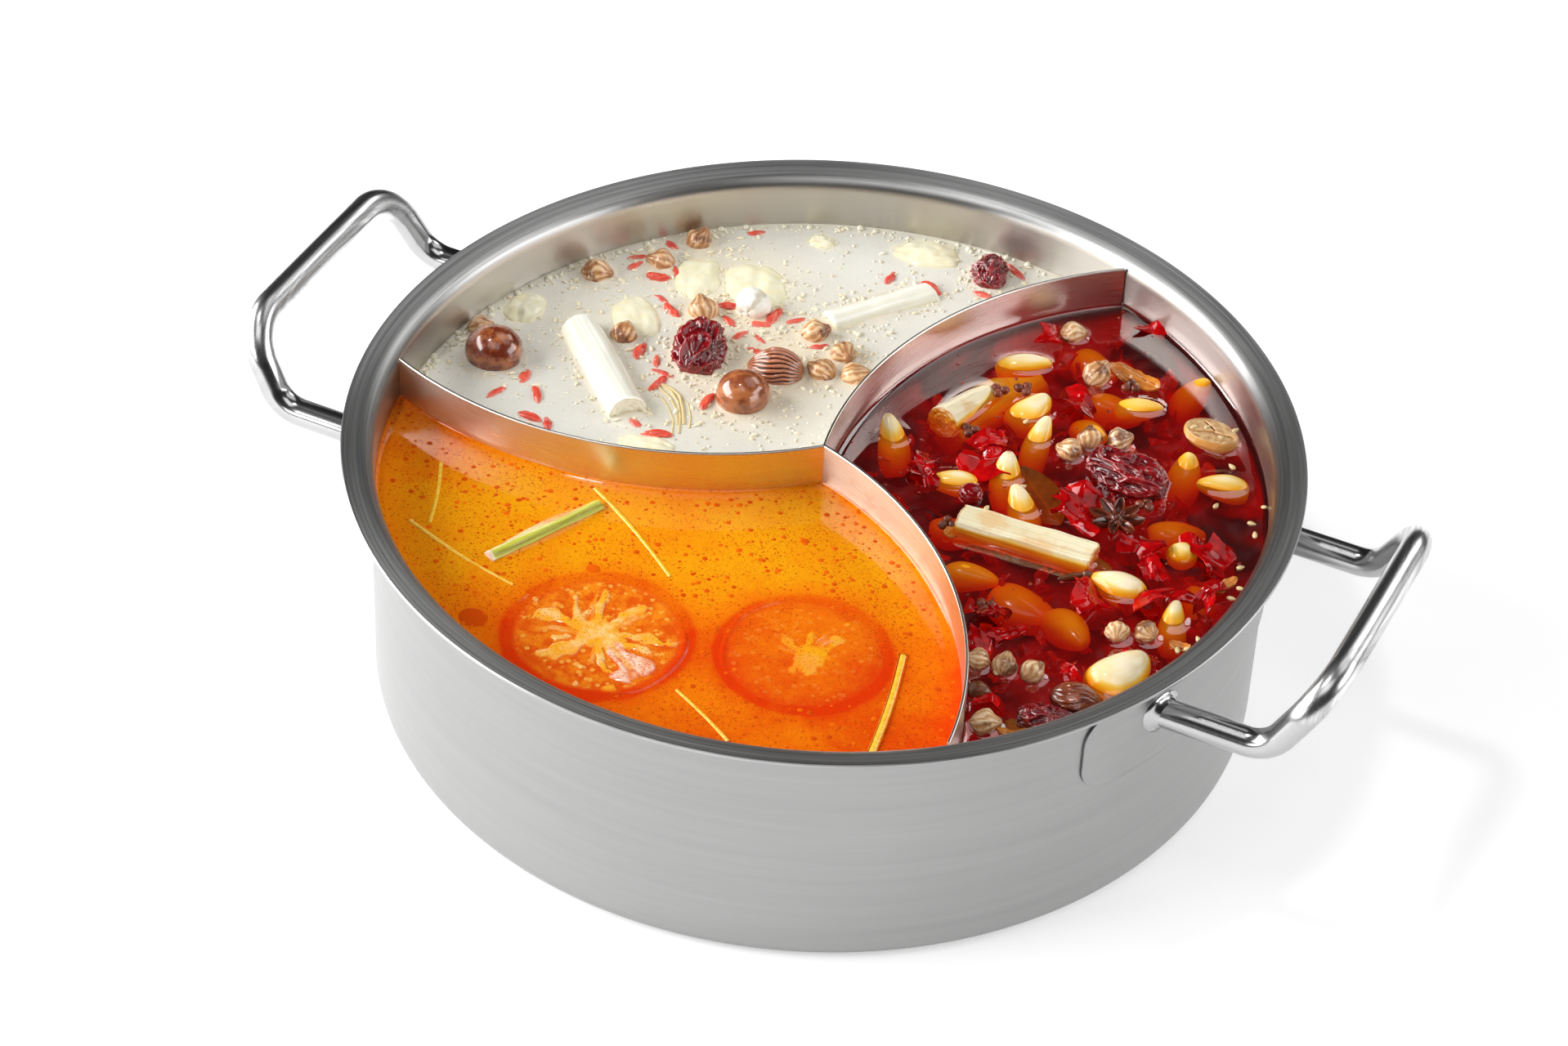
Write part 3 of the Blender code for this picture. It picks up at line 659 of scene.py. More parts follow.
def wallGaps(distance, share):  # to the pot's wall and to the nearer vane
    half = np.arcsin(distance / (2 * vaneForm["radius"]))
    turn = np.minimum(share, 1 - share) * 2 * math.pi / 3
    vane = distance * np.sin(np.minimum(turn, math.pi / 2)) * np.cos(half)
    return brothForm["innerRadius"] - distance, vane


def brothSurface(kind):  # the skin climbs where it wets something
    index, level = compartments[kind], levels[kind]
    distance, share, x, y = brothGrid(index)
    pot, vane = wallGaps(distance, share)
    wall = np.minimum(pot, vane)
    near = np.full_like(x, 99.0)
    for node in toppingGroups[kind]:
        pose = poses[node]
        if pose.middle[2] + pose.half[2] >= level + 0.3 and "slice" not in node:
            near = np.minimum(near, pose.gap(x, y, level))
    rise = brothForm["wallRise"] * np.exp(-wall / brothForm["wallReach"])
    rise = rise + brothForm["itemRise"] * np.exp(-np.maximum(near, 0) / brothForm["itemReach"])
    return x, y, level + rise, near, pot, vane


def brothBody(name, index, x, y, z, inset, rings, values=None):  # from its surface down to the base
    bm = bmesh.new()
    grid = vertRows(bm, x, y, z, values)
    joinRows(bm, grid)
    rows, columns = x.shape
    distance, share, _, _ = brothGrid(index, inset)
    spots = [(i, 0) for i in range(rows)] + [(rows - 1, j) for j in range(1, columns)]
    spots += [(i, columns - 1) for i in range(rows - 2, 0, -1)]
    edge = [grid[i][j] for i, j in spots]
    distance, share = [np.array([field[s] for s in spots]) for field in (distance, share)]
    for ringInset, height in rings:
        ringX, ringY = compartmentPoints(index, distance, share, ringInset)
        ring = [bm.verts.new((a * mm, b * mm, height * mm)) for a, b in zip(ringX, ringY)]
        joinRows(bm, [edge, ring], closed=True, slot=1)
        edge = ring
    bmesh.ops.remove_doubles(bm, verts=bm.verts, dist=0.002 * mm)
    bmesh.ops.dissolve_degenerate(bm, edges=bm.edges, dist=0.002 * mm)
    holes = [e for e in bm.edges if e.is_boundary]
    for face in bmesh.ops.holes_fill(bm, edges=holes, sides=0)["faces"]:
        face.material_index = 1
    bmesh.ops.recalc_face_normals(bm, faces=bm.faces)
    return meshFrom(bm, name)


def bells(x, y, spots):  # soft round patches, each given by its middle, radius and strength
    total = np.zeros_like(x)
    for spotX, spotY, radius, strength in spots:
        total = total + strength * np.exp(-((x - spotX) ** 2 + (y - spotY) ** 2) / radius ** 2)
    return np.clip(total, 0, 1)


def smooth(value, low, high):
    share = np.clip((value - low) / (high - low), 0, 1)
    return share * share * (3 - 2 * share)


def wobble(x, y, z, scale, seed=0.0, octaves=2):
    flat = np.stack([np.ravel(x), np.ravel(y), np.ravel(z)], 1) * scale + seed
    values = [noise.fractal(Vector(p), 1.0, 2.0, octaves) for p in flat]
    return np.array(values).reshape(np.shape(x))


milkyLooks = {
    "open": (225, 223, 212), "pale": (231, 229, 219), "warm": (240, 216, 170),
    # stain is the warm halo round the toppings mixed with painted shade next to them
    "sunkGarlic": (246, 240, 214), "curd": (247, 238, 208), "stain": (226, 196, 150),
    # edge is painted shade along the pot's wall and the vanes
    "dots": (250, 248, 238), "edge": (176, 166, 138), "roughness": 0.10,
}
# middle, half sizes and turn in degrees of the garlic slices that show through the milk
sunkGarlic = [
    (-134.9, 39.2, 9, 7, 95), (-89.6, 84.4, 12, 8.5, 105), (-68.9, 89.0, 14, 11, 130),
    (-98.2, 53.1, 11.5, 8, 133), (-25.0, 137.4, 12, 8, 15), (-60.6, 126.0, 5, 4, 15), (-62, -8, 10, 5, 10),
]
# middle, radius and strength of the patches where fat warms the milk's colour
warmPatches = [
    (-90, 85, 22, 0.5), (-60, 65, 22, 0.6), (-35, 60, 18, 0.6), (-60, 25, 20, 0.5), (-70, 95, 16, 0.5),
    (-120, 45, 18, 0.3), (-30, 30, 18, 0.4),
]


def milkyMaterial():
    looks, nodes = milkyLooks, newMaterial("milkyBroth")
    near, warm, wall, sunk = [nodes.attribute(key) for key in ("near", "warm", "wall", "sunk")]
    cloud = nodes.noise(45.0, 4.0, 0.6)
    fine = nodes.noise(900.0, 3.0, 0.6)
    colour = nodes.mix(cloud.between(0.3, 0.7), looks["open"], looks["pale"])
    colour = nodes.mix(warm * 0.55, colour, looks["warm"])
    curd = (nodes.noise(260.0, 3.0) * 0.5 + fine * 0.5).between(0.52, 0.62)
    colour = nodes.mix((sunk * (0.65 + cloud * 0.5)).clamped(0, 0.92), colour, looks["sunkGarlic"])
    colour = nodes.mix(curd * (0.1 + near * 0.35), colour, looks["curd"])
    # partly the warm halo around the toppings, partly painted shade next to them
    colour = nodes.mix(near * (0.14 + fine * 0.3), colour, looks["stain"])
    colour = nodes.mix(nodes.dots(620.0, 0.12, 0.24) * 0.5, colour, looks["dots"])
    # painted shade: darker next to the pot's wall and the vanes
    colour = nodes.mix(wall * 0.55, colour, looks["edge"])
    height = fine * 0.6 + cloud * 0.8 + nodes.dots(620.0, 0.1, 0.3) * 0.5
    return principled(
        nodes, Base_Color=colour, Roughness=looks["roughness"], IOR=1.48,
        Normal=nodes.bump(height, 0.35, 0.25),
    )


def makeMilkyBroth():
    x, y, z, near, pot, vane = brothSurface("milky")
    level, wall = levels["milky"], np.minimum(pot, vane)
    sunk = np.zeros_like(x)
    for middleX, middleY, length, width, turn in sunkGarlic:
        pose = flatPose(middleX, middleY, level, (2 * length, 2 * width, 4), turn)
        sunk = np.maximum(sunk, smooth(-pose.gap(x, y, level) + 1.5 * wobble(x, y, x * 0, 0.16), -2.5, 1.5))
    values = {
        "sunk": sunk, "warm": bells(x, y, warmPatches), "near": np.exp(-np.maximum(near, 0) / 3.0),
        "wall": np.exp(-wall / 2.0), "open": (near > 1.5) * (wall > 0.8) * 1.0,
    }
    mesh = brothBody("milkyBroth", compartments["milky"], x, y, z, 0.0, brothForm["foot"], values)
    addPiece("milkyBroth", mesh, milkyMaterial(), ["broth_milky"], sharp=60)
    return (x, y, z), values


tomatoLooks = {
    "yellow": (236, 158, 14), "orange": (236, 122, 10), "red": (220, 54, 7), "speck": (186, 58, 8),
    "roughness": 0.06,
    "patches": [(-69, -115, 12, 0.12), (-20, -55, 22, -0.35), (-5, -75, 20, -0.3)],  # where it is redder
}
cameraTurn = math.radians(cameraView["azimuth"])
frontward = (math.sin(cameraTurn), -math.cos(cameraTurn))
# ribs: how many; wide: heading in degrees and half width of the broad pale one
sliceForm = {
    "left": {"ribs": 14, "wide": (-24, 15), "core": 0.24, "reach": 0.74, "rise": 0.45, "veil": 0.20,
             "rim": -12, "seed": 3.0, "skin": 0.25},
    "right": {"ribs": 7, "wide": (70, 9), "core": 0.17, "reach": 0.36, "rise": 0.12, "veil": 0.80,
              "rim": 176, "seed": 7.0, "skin": 1.0},
}


def sliceRadius(side):
    return poses[f"tomato_slice_{side}"].half[:2].mean()


def sliceReach(side, x, y):  # distance from a slice's middle
    middle = poses[f"tomato_slice_{side}"].middle
    return np.hypot(x - middle[0], y - middle[1])


def slicePattern(looks, radius, angle):  # radius from 0 to 1; gives rib, broad rib, jelly and wall shares
    across, along = radius * np.cos(angle), radius * np.sin(angle)
    drift = wobble(across, along, radius * 0, 2.6, looks["seed"], 3)
    ragged = wobble(across, along, radius * 0, 7.0, looks["seed"] + 9, 2)
    bent = angle + 0.35 * wobble(across, along, radius * 0, 1.4, looks["seed"] + 5) * smooth(radius, 0.1, 0.5)
    rib = np.zeros_like(radius)
    for k in range(looks["ribs"]):
        heading = 2 * math.pi * (k + 0.33 * math.sin(2.7 * k + looks["seed"])) / looks["ribs"]
        strength = 0.72 + 0.28 * math.sin(4.1 * k + looks["seed"])
        turn = np.angle(np.exp(1j * (bent - heading)))
        width = math.radians(3.2) / np.maximum(radius, 0.15) ** 0.7 * (1 + 1.1 * ragged + 0.5 * drift)
        reach = looks["reach"] * (0.70 + 0.35 * strength + 0.35 * drift)
        ends = 1 - smooth(radius, reach - 0.12, reach + 0.04)
        rib = np.maximum(rib, strength * (1 - smooth(np.abs(turn), width * 0.5, width * 1.5)) * ends)
    core = 1 - smooth(radius * (1 + 0.9 * drift + 0.5 * ragged), looks["core"] * 0.6, looks["core"] * 1.3)
    rib = np.maximum(rib, core).clip(0, 1)
    heading, halfWidth = looks["wide"]
    turn = np.abs(np.angle(np.exp(1j * (bent - math.radians(heading))))) * (1 + 0.9 * drift)
    broad = 1 - smooth(turn, math.radians(halfWidth) * 0.6, math.radians(halfWidth) * 1.2)
    split = smooth(np.abs(turn - math.radians(2)), 0.02, 0.07)
    reach = looks["reach"] + 0.1
    ends = smooth(radius, 0.16, 0.30) * (1 - smooth(radius, reach - 0.1, reach))
    broad = broad * ends * (0.4 + 0.6 * split)
    wall = smooth(radius, 0.80, 0.90)
    jelly = (1 - rib) * (1 - wall) * (1 - broad)
    return rib, broad, jelly, wall, drift


def deepTomato(x, y, pot, vane):  # where the broth is redder
    front = smooth(x * frontward[0] + y * frontward[1], 34, 140)
    right = smooth(x * 0.9 + y * 0.1, 10, 95) * 0.10
    left = smooth(-x, 85, 150) * 0.20
    edges = 0.12 * np.exp(-pot / 9) + 0.26 * np.exp(-vane / 5)
    rings = inside = 0.0
    for side, looks in sliceForm.items():
        reach, radius = sliceReach(side, x, y), sliceRadius(side)
        rings = rings + np.exp(-((reach - radius + 1) / 6.5) ** 2)
        middle = poses[f"tomato_slice_{side}"].middle
        away, angle = reach / radius, np.arctan2(y - middle[1], x - middle[0])
        close = away < 1.1
        shade = np.zeros_like(x)
        rib, _, jelly, wall, _ = slicePattern(looks, away[close], angle[close])
        shade[close] = (0.22 * jelly + 0.24 * wall - 0.25 * rib) * (1 - smooth(away[close], 0.98, 1.04))
        inside = inside + shade
    patches = bells(x, y, tomatoLooks["patches"])
    return np.clip(0.16 + 0.50 * front + 0.20 * rings + right + left + edges + patches + inside, 0, 1)


def tomatoSkin(nodes, deep):  # colour and bump height of the broth's skin, and its specks
    looks = tomatoLooks
    cloud = nodes.noise(38.0, 4.0, 0.55, 0.4)
    fine = nodes.noise(420.0, 3.0, 0.65)
    share = (deep + (cloud - 0.5) * 0.75 + (fine - 0.5) * 0.22).clamped()
    colour = nodes.mix(share.between(0.0, 0.5), looks["yellow"], looks["orange"])
    colour = nodes.mix(share.between(0.38, 1.0), colour, looks["red"])
    patch = nodes.noise(60.0).between(0.35, 0.65)
    specks = nodes.dots(1150.0, 0.20, 0.38) * (0.45 + 0.55 * patch)
    drops = nodes.dots(420.0, 0.14, 0.24)
    colour = nodes.mix((specks * 0.75 + drops * 0.6).clamped(0, 0.8), colour, looks["speck"])
    return colour, fine * 0.3 + cloud * 0.6 + drops * 0.5, specks


def makeTomatoBroth():
    x, y, z, near, pot, vane = brothSurface("tomato")
    slices = np.minimum(*[sliceReach(side, x, y) - sliceRadius(side) for side in sliceForm])
    values = {
        "deep": deepTomato(x, y, pot, vane),
        "open": (near > 1.2) * (np.minimum(pot, vane) > 1.0) * (0.3 + 0.7 * (slices > 1)),
    }
    mesh = brothBody("tomatoBroth", compartments["tomato"], x, y, z, 0.0, brothForm["foot"], values)
    nodes = newMaterial("tomatoBroth")
    colour, height, _ = tomatoSkin(nodes, nodes.attribute("deep"))
    material = principled(
        nodes, Base_Color=colour, Roughness=tomatoLooks["roughness"], IOR=1.42,
        Normal=nodes.bump(height, 0.14, 0.2),
    )
    addPiece("tomatoBroth", mesh, material, ["broth_tomato"], sharp=60)
    return (x, y, z), values


redLooks = {
    "bed": (206, 13, 10), "bedDark": (82, 3, 7), "bedEdge": (70, 14, 14), "glow": (0.24, 0.08, 0.06, 1),
    "absorb": (0.03, 0.28, 1.3),  # share of red, green and blue lost in each millimetre
    "filmIor": 2.15, "filmColour": (1, 0.96, 0.96, 1), "filmRoughness": 0.04,
}
# the bed is the broken surface of all that lies deep in the oil; the film is the oil's own surface
redForm = {"bedDepth": 14.0, "bedScale": 14, "bedRise": 2.6, "collar": 0.35, "top": 0.45, "film": 0.25}


def soaked(nodes, colour, coat=0.2, lean=0.0):  # oil turns what is under it yellow, orange, then red
    depth = levels["red"] - nodes.height() + coat + (nodes.noise(160.0) * 0.8 - 0.4)
    if lean:  # a side that leans away lies under more oil
        facing = nodes.parts(nodes.node("ShaderNodeNewGeometry", out="Normal"))[2]
        depth = depth + (1 - facing.clamped()) ** 1.3 * lean
    depth = depth.clamped(0, 40)
    return nodes.tinted(colour, nodes.vector(*[math.e ** (depth * -loss) for loss in redLooks["absorb"]]))


def underOil(nodes, colour, strength):  # light spread by the oil, from nothing above the surface
    below = (levels["red"] + 2.5 - nodes.height()).between(0.0, 4.5)
    return nodes.mix(below * strength, (0, 0, 0, 1), colour)


def redBedMaterial():
    looks, nodes = redLooks, newMaterial("redBrothDepth")
    blotch = nodes.noise(36.0, 2.0, 0.5, 0.5)
    colour = nodes.mix(blotch.between(0.35, 0.7), looks["bedDark"], looks["bed"])
    depth = (levels["red"] - nodes.height()).clamped(0, 30)
    colour = nodes.mix(1 - depth.between(1.0, 7.0), colour, looks["bedEdge"])
    return principled(
        nodes, Base_Color=colour, Roughness=0.6, Normal=nodes.bump(blotch, 0.3, 0.6),
        Emission_Color=nodes.tinted(colour, looks["glow"]), Emission_Strength=1.0,
    )


def makeRedBed():
    index, level, form = compartments["red"], levels["red"], redForm
    distance, share, x, y = brothGrid(index, form["collar"])
    wall = np.minimum(*wallGaps(distance, share))
    bed = np.zeros_like(x)
    for i, j in np.ndindex(x.shape):
        spot = Vector((x[i, j] / form["bedScale"], y[i, j] / form["bedScale"], 4.0))
        bed[i, j] = noise.fractal(spot, 1.0, 2.0, 4) + 0.4 * noise.noise(spot * 3.1)
    z = level - form["bedDepth"] + form["bedRise"] * (bed + np.exp(-wall / 4.0))
    top = level - form["top"]
    rings = [(form["collar"], top), (0.0, top)] + brothForm["foot"]
    mesh = brothBody("redBrothDepth", index, x, y, z, form["collar"], rings)
    for polygon in mesh.polygons:
        polygon.material_index = 0
    addPiece("redBrothDepth", mesh, redBedMaterial(), ["broth_red"], sharp=60)
    return (x, y, z), wall


def clearMaterial():
    nodes = newMaterial("clearUnderside")
    return finished(nodes, nodes.node("ShaderNodeBsdfTransparent", {}, {"Color": (1, 1, 1, 1)}))


def oilFilmMaterial():  # clear, with a gloss that grows towards grazing angles
    looks, nodes = redLooks, newMaterial("redOilFilm")
    clear = nodes.node("ShaderNodeBsdfTransparent", {}, {"Color": (1, 1, 1, 1)})
    swell = nodes.bump(nodes.noise(30.0), 0.05, 1.0)
    values = {"Color": looks["filmColour"], "Roughness": looks["filmRoughness"], "Normal": swell}
    gloss = nodes.node("ShaderNodeBsdfGlossy", {}, values)
    fresnel = nodes.node("ShaderNodeFresnel", {}, {"IOR": looks["filmIor"]})
    return finished(nodes, nodes.node("ShaderNodeMixShader", {}, {0: fresnel, 1: clear, 2: gloss}))


def makeOilFilm():
    x, y, z, near, pot, vane = brothSurface("red")
    rings = [(0.0, levels["red"] - redForm["film"])]
    mesh = brothBody("redOilFilm", compartments["red"], x, y, z, 0.0, rings)
    for material in (oilFilmMaterial(), clearMaterial()):
        mesh.materials.append(material)
    addPiece("redOilFilm", mesh, None, sharp=60)
    return (x, y, z), {"open": (near > 1.5) * (np.minimum(pot, vane) > 1.0) * 1.0}


milkySurface, milkyValues = makeMilkyBroth()
tomatoSurface, tomatoValues = makeTomatoBroth()
redBed, redBedClear = makeRedBed()
redSurface, redValues = makeOilFilm()
print("three broths are poured")


# Each form below is its points, faces and tones; change bends the round form and gives its tone.

def fitted(points, faces, tones):  # scaled to fill the box from -1 to 1
    low, high = points.min(0), points.max(0)
    return (points - (low + high) / 2) / ((high - low) / 2), faces, tones


def revolved(xs, rs, around, change):  # a closed form round X
    x = np.repeat(np.asarray(xs, float)[:, None], around, 1)
    radius = np.repeat(np.asarray(rs, float)[:, None], around, 1)
    angle = np.repeat(np.linspace(0, 2 * math.pi, around, endpoint=False)[None, :], len(xs), 0)
    x, y, z, tone = change(x, radius * np.cos(angle), radius * np.sin(angle), radius, angle)
    rows = len(xs)
    points = [[x[0].mean(), y[0].mean(), z[0].mean()]]
    points += np.stack([x[1:-1], y[1:-1], z[1:-1]], -1).reshape(-1, 3).tolist()
    points += [[x[-1].mean(), y[-1].mean(), z[-1].mean()]]
    tones = np.concatenate([[tone[0].mean()], tone[1:-1].ravel(), [tone[-1].mean()]])
    faces, last = [], len(points) - 1
    for j in range(around):
        after = (j + 1) % around
        faces.append((0, 1 + after, 1 + j))
        faces.append((last, 1 + (rows - 3) * around + j, 1 + (rows - 3) * around + after))
        for i in range(rows - 3):
            low, high = 1 + i * around, 1 + (i + 1) * around
            faces.append((low + j, low + after, high + after, high + j))
    return fitted(np.array(points), faces, tones)


def slab(x, y, z, thickness, tone):  # a thin closed sheet from a grid of points
    rows, columns = x.shape
    top = np.stack([x, y, z], -1).reshape(-1, 3)
    points = np.concatenate([top, top - [0, 0, thickness]])
    under, faces = rows * columns, []
    for i in range(rows - 1):
        for j in range(columns - 1):
            a, b = i * columns + j, (i + 1) * columns + j
            faces += [(a, b, b + 1, a + 1), (under + a, under + a + 1, under + b + 1, under + b)]
    rim = list(range(columns)) + [i * columns + columns - 1 for i in range(1, rows)]
    rim += [(rows - 1) * columns + j for j in range(columns - 2, -1, -1)]
    rim += [i * columns for i in range(rows - 2, 0, -1)]
    for k, a in enumerate(rim):
        b = rim[(k + 1) % len(rim)]
        faces.append((a, b, under + b, under + a))
    return fitted(points, faces, np.concatenate([tone.ravel(), tone.ravel() * 0.6]))


def ballLine(rows, blunt=1.0):  # under 1 blunts the ends, over 1 points them
    turn = np.linspace(0, math.pi, rows)
    return -np.cos(turn), np.sin(turn) ** blunt


def flatGrid(rows, columns):
    return np.meshgrid(np.linspace(-1, 1, rows), np.linspace(-1, 1, columns), indexing="ij")


def podForm(seed):  # a round ribbed pod with a pointed tip
    def change(x, y, z, radius, angle):
        drift = wobble(x, y, z, 1.3, seed * 7.1)
        ribs = 0.5 + 0.5 * np.cos((10 + seed % 3) * angle + 2.2 * drift + 0.7 * np.sin(3 * x))
        fine = 0.5 + 0.5 * np.cos(31 * angle + 5 * drift)
        body = (1 - x ** 2).clip(0, 1) ** 0.35
        swell = 1 - 0.055 * (1 - ribs) * body - 0.012 * fine * body + 0.14 * drift
        tip, stalk = smooth(x, 0.78, 1.0), smooth(-x, 0.86, 1.0)
        x = x * (1 + 0.04 * drift) + 0.20 * tip - 0.10 * stalk
        swell = swell * (1 - 0.25 * smooth(x, 0.1, 1.1))
        tone = ribs * (0.75 + 0.5 * drift) - 0.5 * tip - 0.6 * stalk + 0.15 * fine
        return x, y * swell, z * swell, tone
    return revolved(*ballLine(30), 56, change)


def nutForm(seed, ribs=0, rows=48, around=72):
    def change(x, y, z, radius, angle):
        drift = wobble(x, y, z, 1.1, seed * 5.3)
        tone = drift * 0.5 + 0.5
        swell = 1 + 0.035 * drift
        if ribs:
            tone = np.abs(np.sin(angle * ribs / 2 + 1.6 * drift + 0.5 * np.sin(4 * x))) ** 0.7
            swell = swell - 0.11 * (1 - tone) * (1 - x ** 2).clip(0, 1) ** 0.3
            swell = swell * (1 - 0.16 * smooth(x, 0.0, 1.0))
        x = x + 0.05 * smooth(x, 0.9, 1.0) * (1 if ribs else -1)
        return x, y * swell, z * swell, tone
    return revolved(*ballLine(rows), around, change)


def jujubeForm(seed):  # the skin has shrunk into sharp crests and hollows
    def change(x, y, z, radius, angle):
        drift = wobble(x, y, z, 1.2, seed * 3.7)
        broad = wobble(x * 1.2 + 0.3 * drift, y * 1.5, z * 1.5, 1.3, seed * 9.1, 1)
        narrow = wobble(x * 1.1, y * 1.5, z * 1.5, 2.7, seed * 4.3, 1)
        crest = (1 - np.abs(broad) * 3.2).clip(0, 1)
        crease = (1 - np.abs(narrow) * 3.4).clip(0, 1)
        tone = (0.75 * crest ** 1.5 + 0.45 * crease ** 1.6).clip(0, 1)
        swell = 0.78 + 0.22 * crest ** 0.9 + 0.10 * crease ** 1.1 + 0.12 * drift
        return x * (1 - 0.12 * smooth(np.abs(x), 0.8, 1.0)), y * swell, z * swell, tone
    return revolved(*ballLine(100), 130, change)


def cloveForm(seed):  # a garlic clove: blunt at its root, bent and thin at its tip
    def change(x, y, z, radius, angle):
        along = (x + 1) / 2
        thin = 1 - 0.46 * along ** 1.6
        drift = wobble(x, y, z, 0.8, seed * 6.7)
        edge = 1 + 0.05 * np.cos(3 * angle + seed) * (1 - along) + 0.07 * drift
        bend = 0.55 * (along - 0.40) ** 2 * (1 if seed % 2 else -1)
        root = smooth(-x, 0.93, 1.0)
        x = x + 0.10 * root
        tone = 0.5 + 0.5 * drift - 0.9 * root - 0.35 * smooth(x, 0.85, 1.02)
        return x, y * thin * edge + bend, z * thin * edge * (1 - 0.12 * (z < 0)), tone
    return revolved(*ballLine(40, 0.72), 48, change)


def halfCloveForm():  # cut flat, with a cracked face
    def change(x, y, z, radius, angle):
        drift = wobble(x, y, z, 1.4, 3.0)
        swell = 1 + 0.07 * drift
        y, z = y * swell, z * swell
        flat = smooth(z, 0.28, 0.40)
        crack = np.minimum(
            np.abs(y - 0.15 * x - 0.08 * drift) + 9 * (x < 0.1),
            np.minimum(
                np.abs(y - 0.9 * (0.1 - x) - 0.05 + 0.1 * drift) + 9 * (x > 0.1),
                np.abs(y + 0.8 * (0.1 - x) - 0.02) + 9 * (x > 0.1),
            ),
        )
        groove = (1 - smooth(crack, 0.02, 0.11)) * flat * smooth(1.0 - np.hypot(x, y), 0.12, 0.3)
        z = np.minimum(z, 0.34 + 0.06 * z) - 0.10 * groove
        return x, y, z, 0.5 + 0.5 * flat - 0.95 * groove
    xs = ballLine(90)[0]
    return revolved(xs, np.sqrt((1 - xs ** 2).clip(0, 1)), 150, change)


def stalkForm(seed, flatTop=False):  # a cut length of stalk with its four layers at both ends
    steps = np.linspace(0, 1, 15)[:-1]
    layer = 0.5 + 0.5 * np.cos(steps * 4 * 2 * math.pi)
    face = -1 + 0.012 * (1 - layer) + 0.02 * (1 - steps)
    half = np.concatenate([face, [-0.992, -0.975]])
    halfRadius, halfTone = np.concatenate([steps, [0.955, 0.985]]), np.concatenate([layer, [0.9, 0.9]])
    xs = np.concatenate([half, np.linspace(-0.95, 0.95, 60), -half[::-1]])
    rs = np.concatenate([halfRadius, np.ones(60), halfRadius[::-1]])
    endTone = np.concatenate([halfTone, np.full(60, 2.0), halfTone[::-1]])

    def change(x, y, z, radius, angle):
        drift = wobble(x * 1.5, y * 0.6, z * 0.6, 1.0, seed * 4.9)
        fibre = wobble(x * 0.25, np.cos(angle) * 7, np.sin(angle) * 7, 1.0, seed, 2)
        swell = 1 + 0.05 * drift + 0.016 * fibre * (radius > 0.97)
        y, z = y * swell, z * swell + 0.06 * drift
        if flatTop:
            z = np.minimum(z, 0.52 + 0.05 * fibre + 0.06 * drift)
            z = np.maximum(z, -0.9)
        tone = np.repeat(endTone[:, None], x.shape[1], 1)
        tone = np.where(tone > 1.5, 2.0 + 0.5 * (fibre + 0.5).clip(0, 1), tone)
        ragged = 0.02 * wobble(y * 2, z * 2, x * 0, 1.5, seed) * (np.abs(x) > 0.9)
        return x + ragged, y, z, tone
    return revolved(xs, rs, 72, change)


def stemForm():
    def change(x, y, z, radius, angle):
        drift = wobble(x * 2, y, z, 0.8, 5.0)
        ridge = 1 + 0.13 * np.cos(4 * angle) + 0.04 * np.cos(11 * angle + 3 * drift)
        white = smooth(-x, 0.90, 0.96)
        y = y * ridge * (1 + 0.12 * drift) + 0.30 * drift
        return x, y, z * ridge * (1 + 0.3 * white), 0.5 + 0.5 * np.cos(4 * angle) * (1 - white) + 1.2 * white
    steps = np.linspace(0, 1, 7)[:-1]
    xs = np.concatenate([-1 + 0.01 * steps, np.linspace(-0.985, 0.985, 70), (1 - 0.01 * steps)[::-1]])
    return revolved(xs, np.concatenate([steps, np.ones(70), steps[::-1]]), 40, change)


def garlicSliceForm(seed):  # a soft slice with a lumpy outline and a shallow fold
    def change(x, y, z, radius, angle):
        drift = wobble(x, y, x * 0, 1.1, seed * 3.9, 2)
        lumps = wobble(x, y, z, 2.6, seed * 2.3, 2)
        fold = np.exp(-((y - 0.25 * np.sin(2 * x + seed)) / 0.16) ** 2)
        swell = 1 + 0.16 * drift
        return x * swell, y * swell, z * (1 + 0.22 * lumps) - 0.16 * fold * (z > 0), 0.5 + lumps - 0.4 * fold
    return revolved(*ballLine(34, 0.85), 56, change)


def lobedForm():  # a pale puffed pod of three lobes
    def change(x, y, z, radius, angle):
        drift = wobble(x, y, z, 1.5, 2.0)
        lobes = np.abs(np.cos(1.5 * angle + 0.3 * drift)) ** 0.6
        fine = np.cos(18 * angle + 3 * drift)
        swell = 0.82 + 0.20 * lobes + 0.012 * fine + 0.05 * drift
        x = x - 0.16 * smooth(x, 0.80, 1.0) * (1 - lobes * 0.4) + 0.05 * drift
        return x, y * swell, z * swell, lobes * 0.8 + 0.1 * fine
    return revolved(*ballLine(40), 72, change)


def kernelForm(rows, around, pointed=False):  # seeds, beads and drops
    def change(x, y, z, radius, angle):
        swell = 1 - 0.6 * ((x + 1) / 2) ** 2 if pointed else 1 - 0.10 * np.abs(np.cos(2.5 * angle))
        return x, y * swell, z * swell, np.cos(3 * angle) * 0.5 + 0.5
    return revolved(*ballLine(rows), around, change)


def berryForm(seed):  # a dried wolfberry, pointed and pinched into long folds
    def change(x, y, z, radius, angle):
        drift = wobble(x * 1.2, y, z, 1.1, seed * 4.1)
        folds = np.abs(np.sin(2.0 * angle + 1.4 * x + 2.5 * drift + seed))
        swell = (1 - 0.24 * (1 - folds) ** 1.5) * (1 + 0.3 * drift)
        bend = 0.22 * x ** 2 * (1 if seed % 2 else -1)
        return x, y * swell + bend, z * swell, folds
    return revolved(*ballLine(22, 1.15), 24, change)


def armForm():  # one boat-shaped arm of star anise, open along its top
    def change(x, y, z, radius, angle):
        along = (x + 1) / 2
        opened = (z > 0) * smooth(1 - np.abs(y) / (radius + 0.01), 0.12, 0.5) * smooth(along, 0.1, 0.35)
        z = z * (1 - 1.25 * opened) + 0.35 * along ** 3
        return x, y * (0.75 + 0.5 * np.sin(along * math.pi)), z, 1 - opened
    return revolved(*ballLine(16), 16, change)


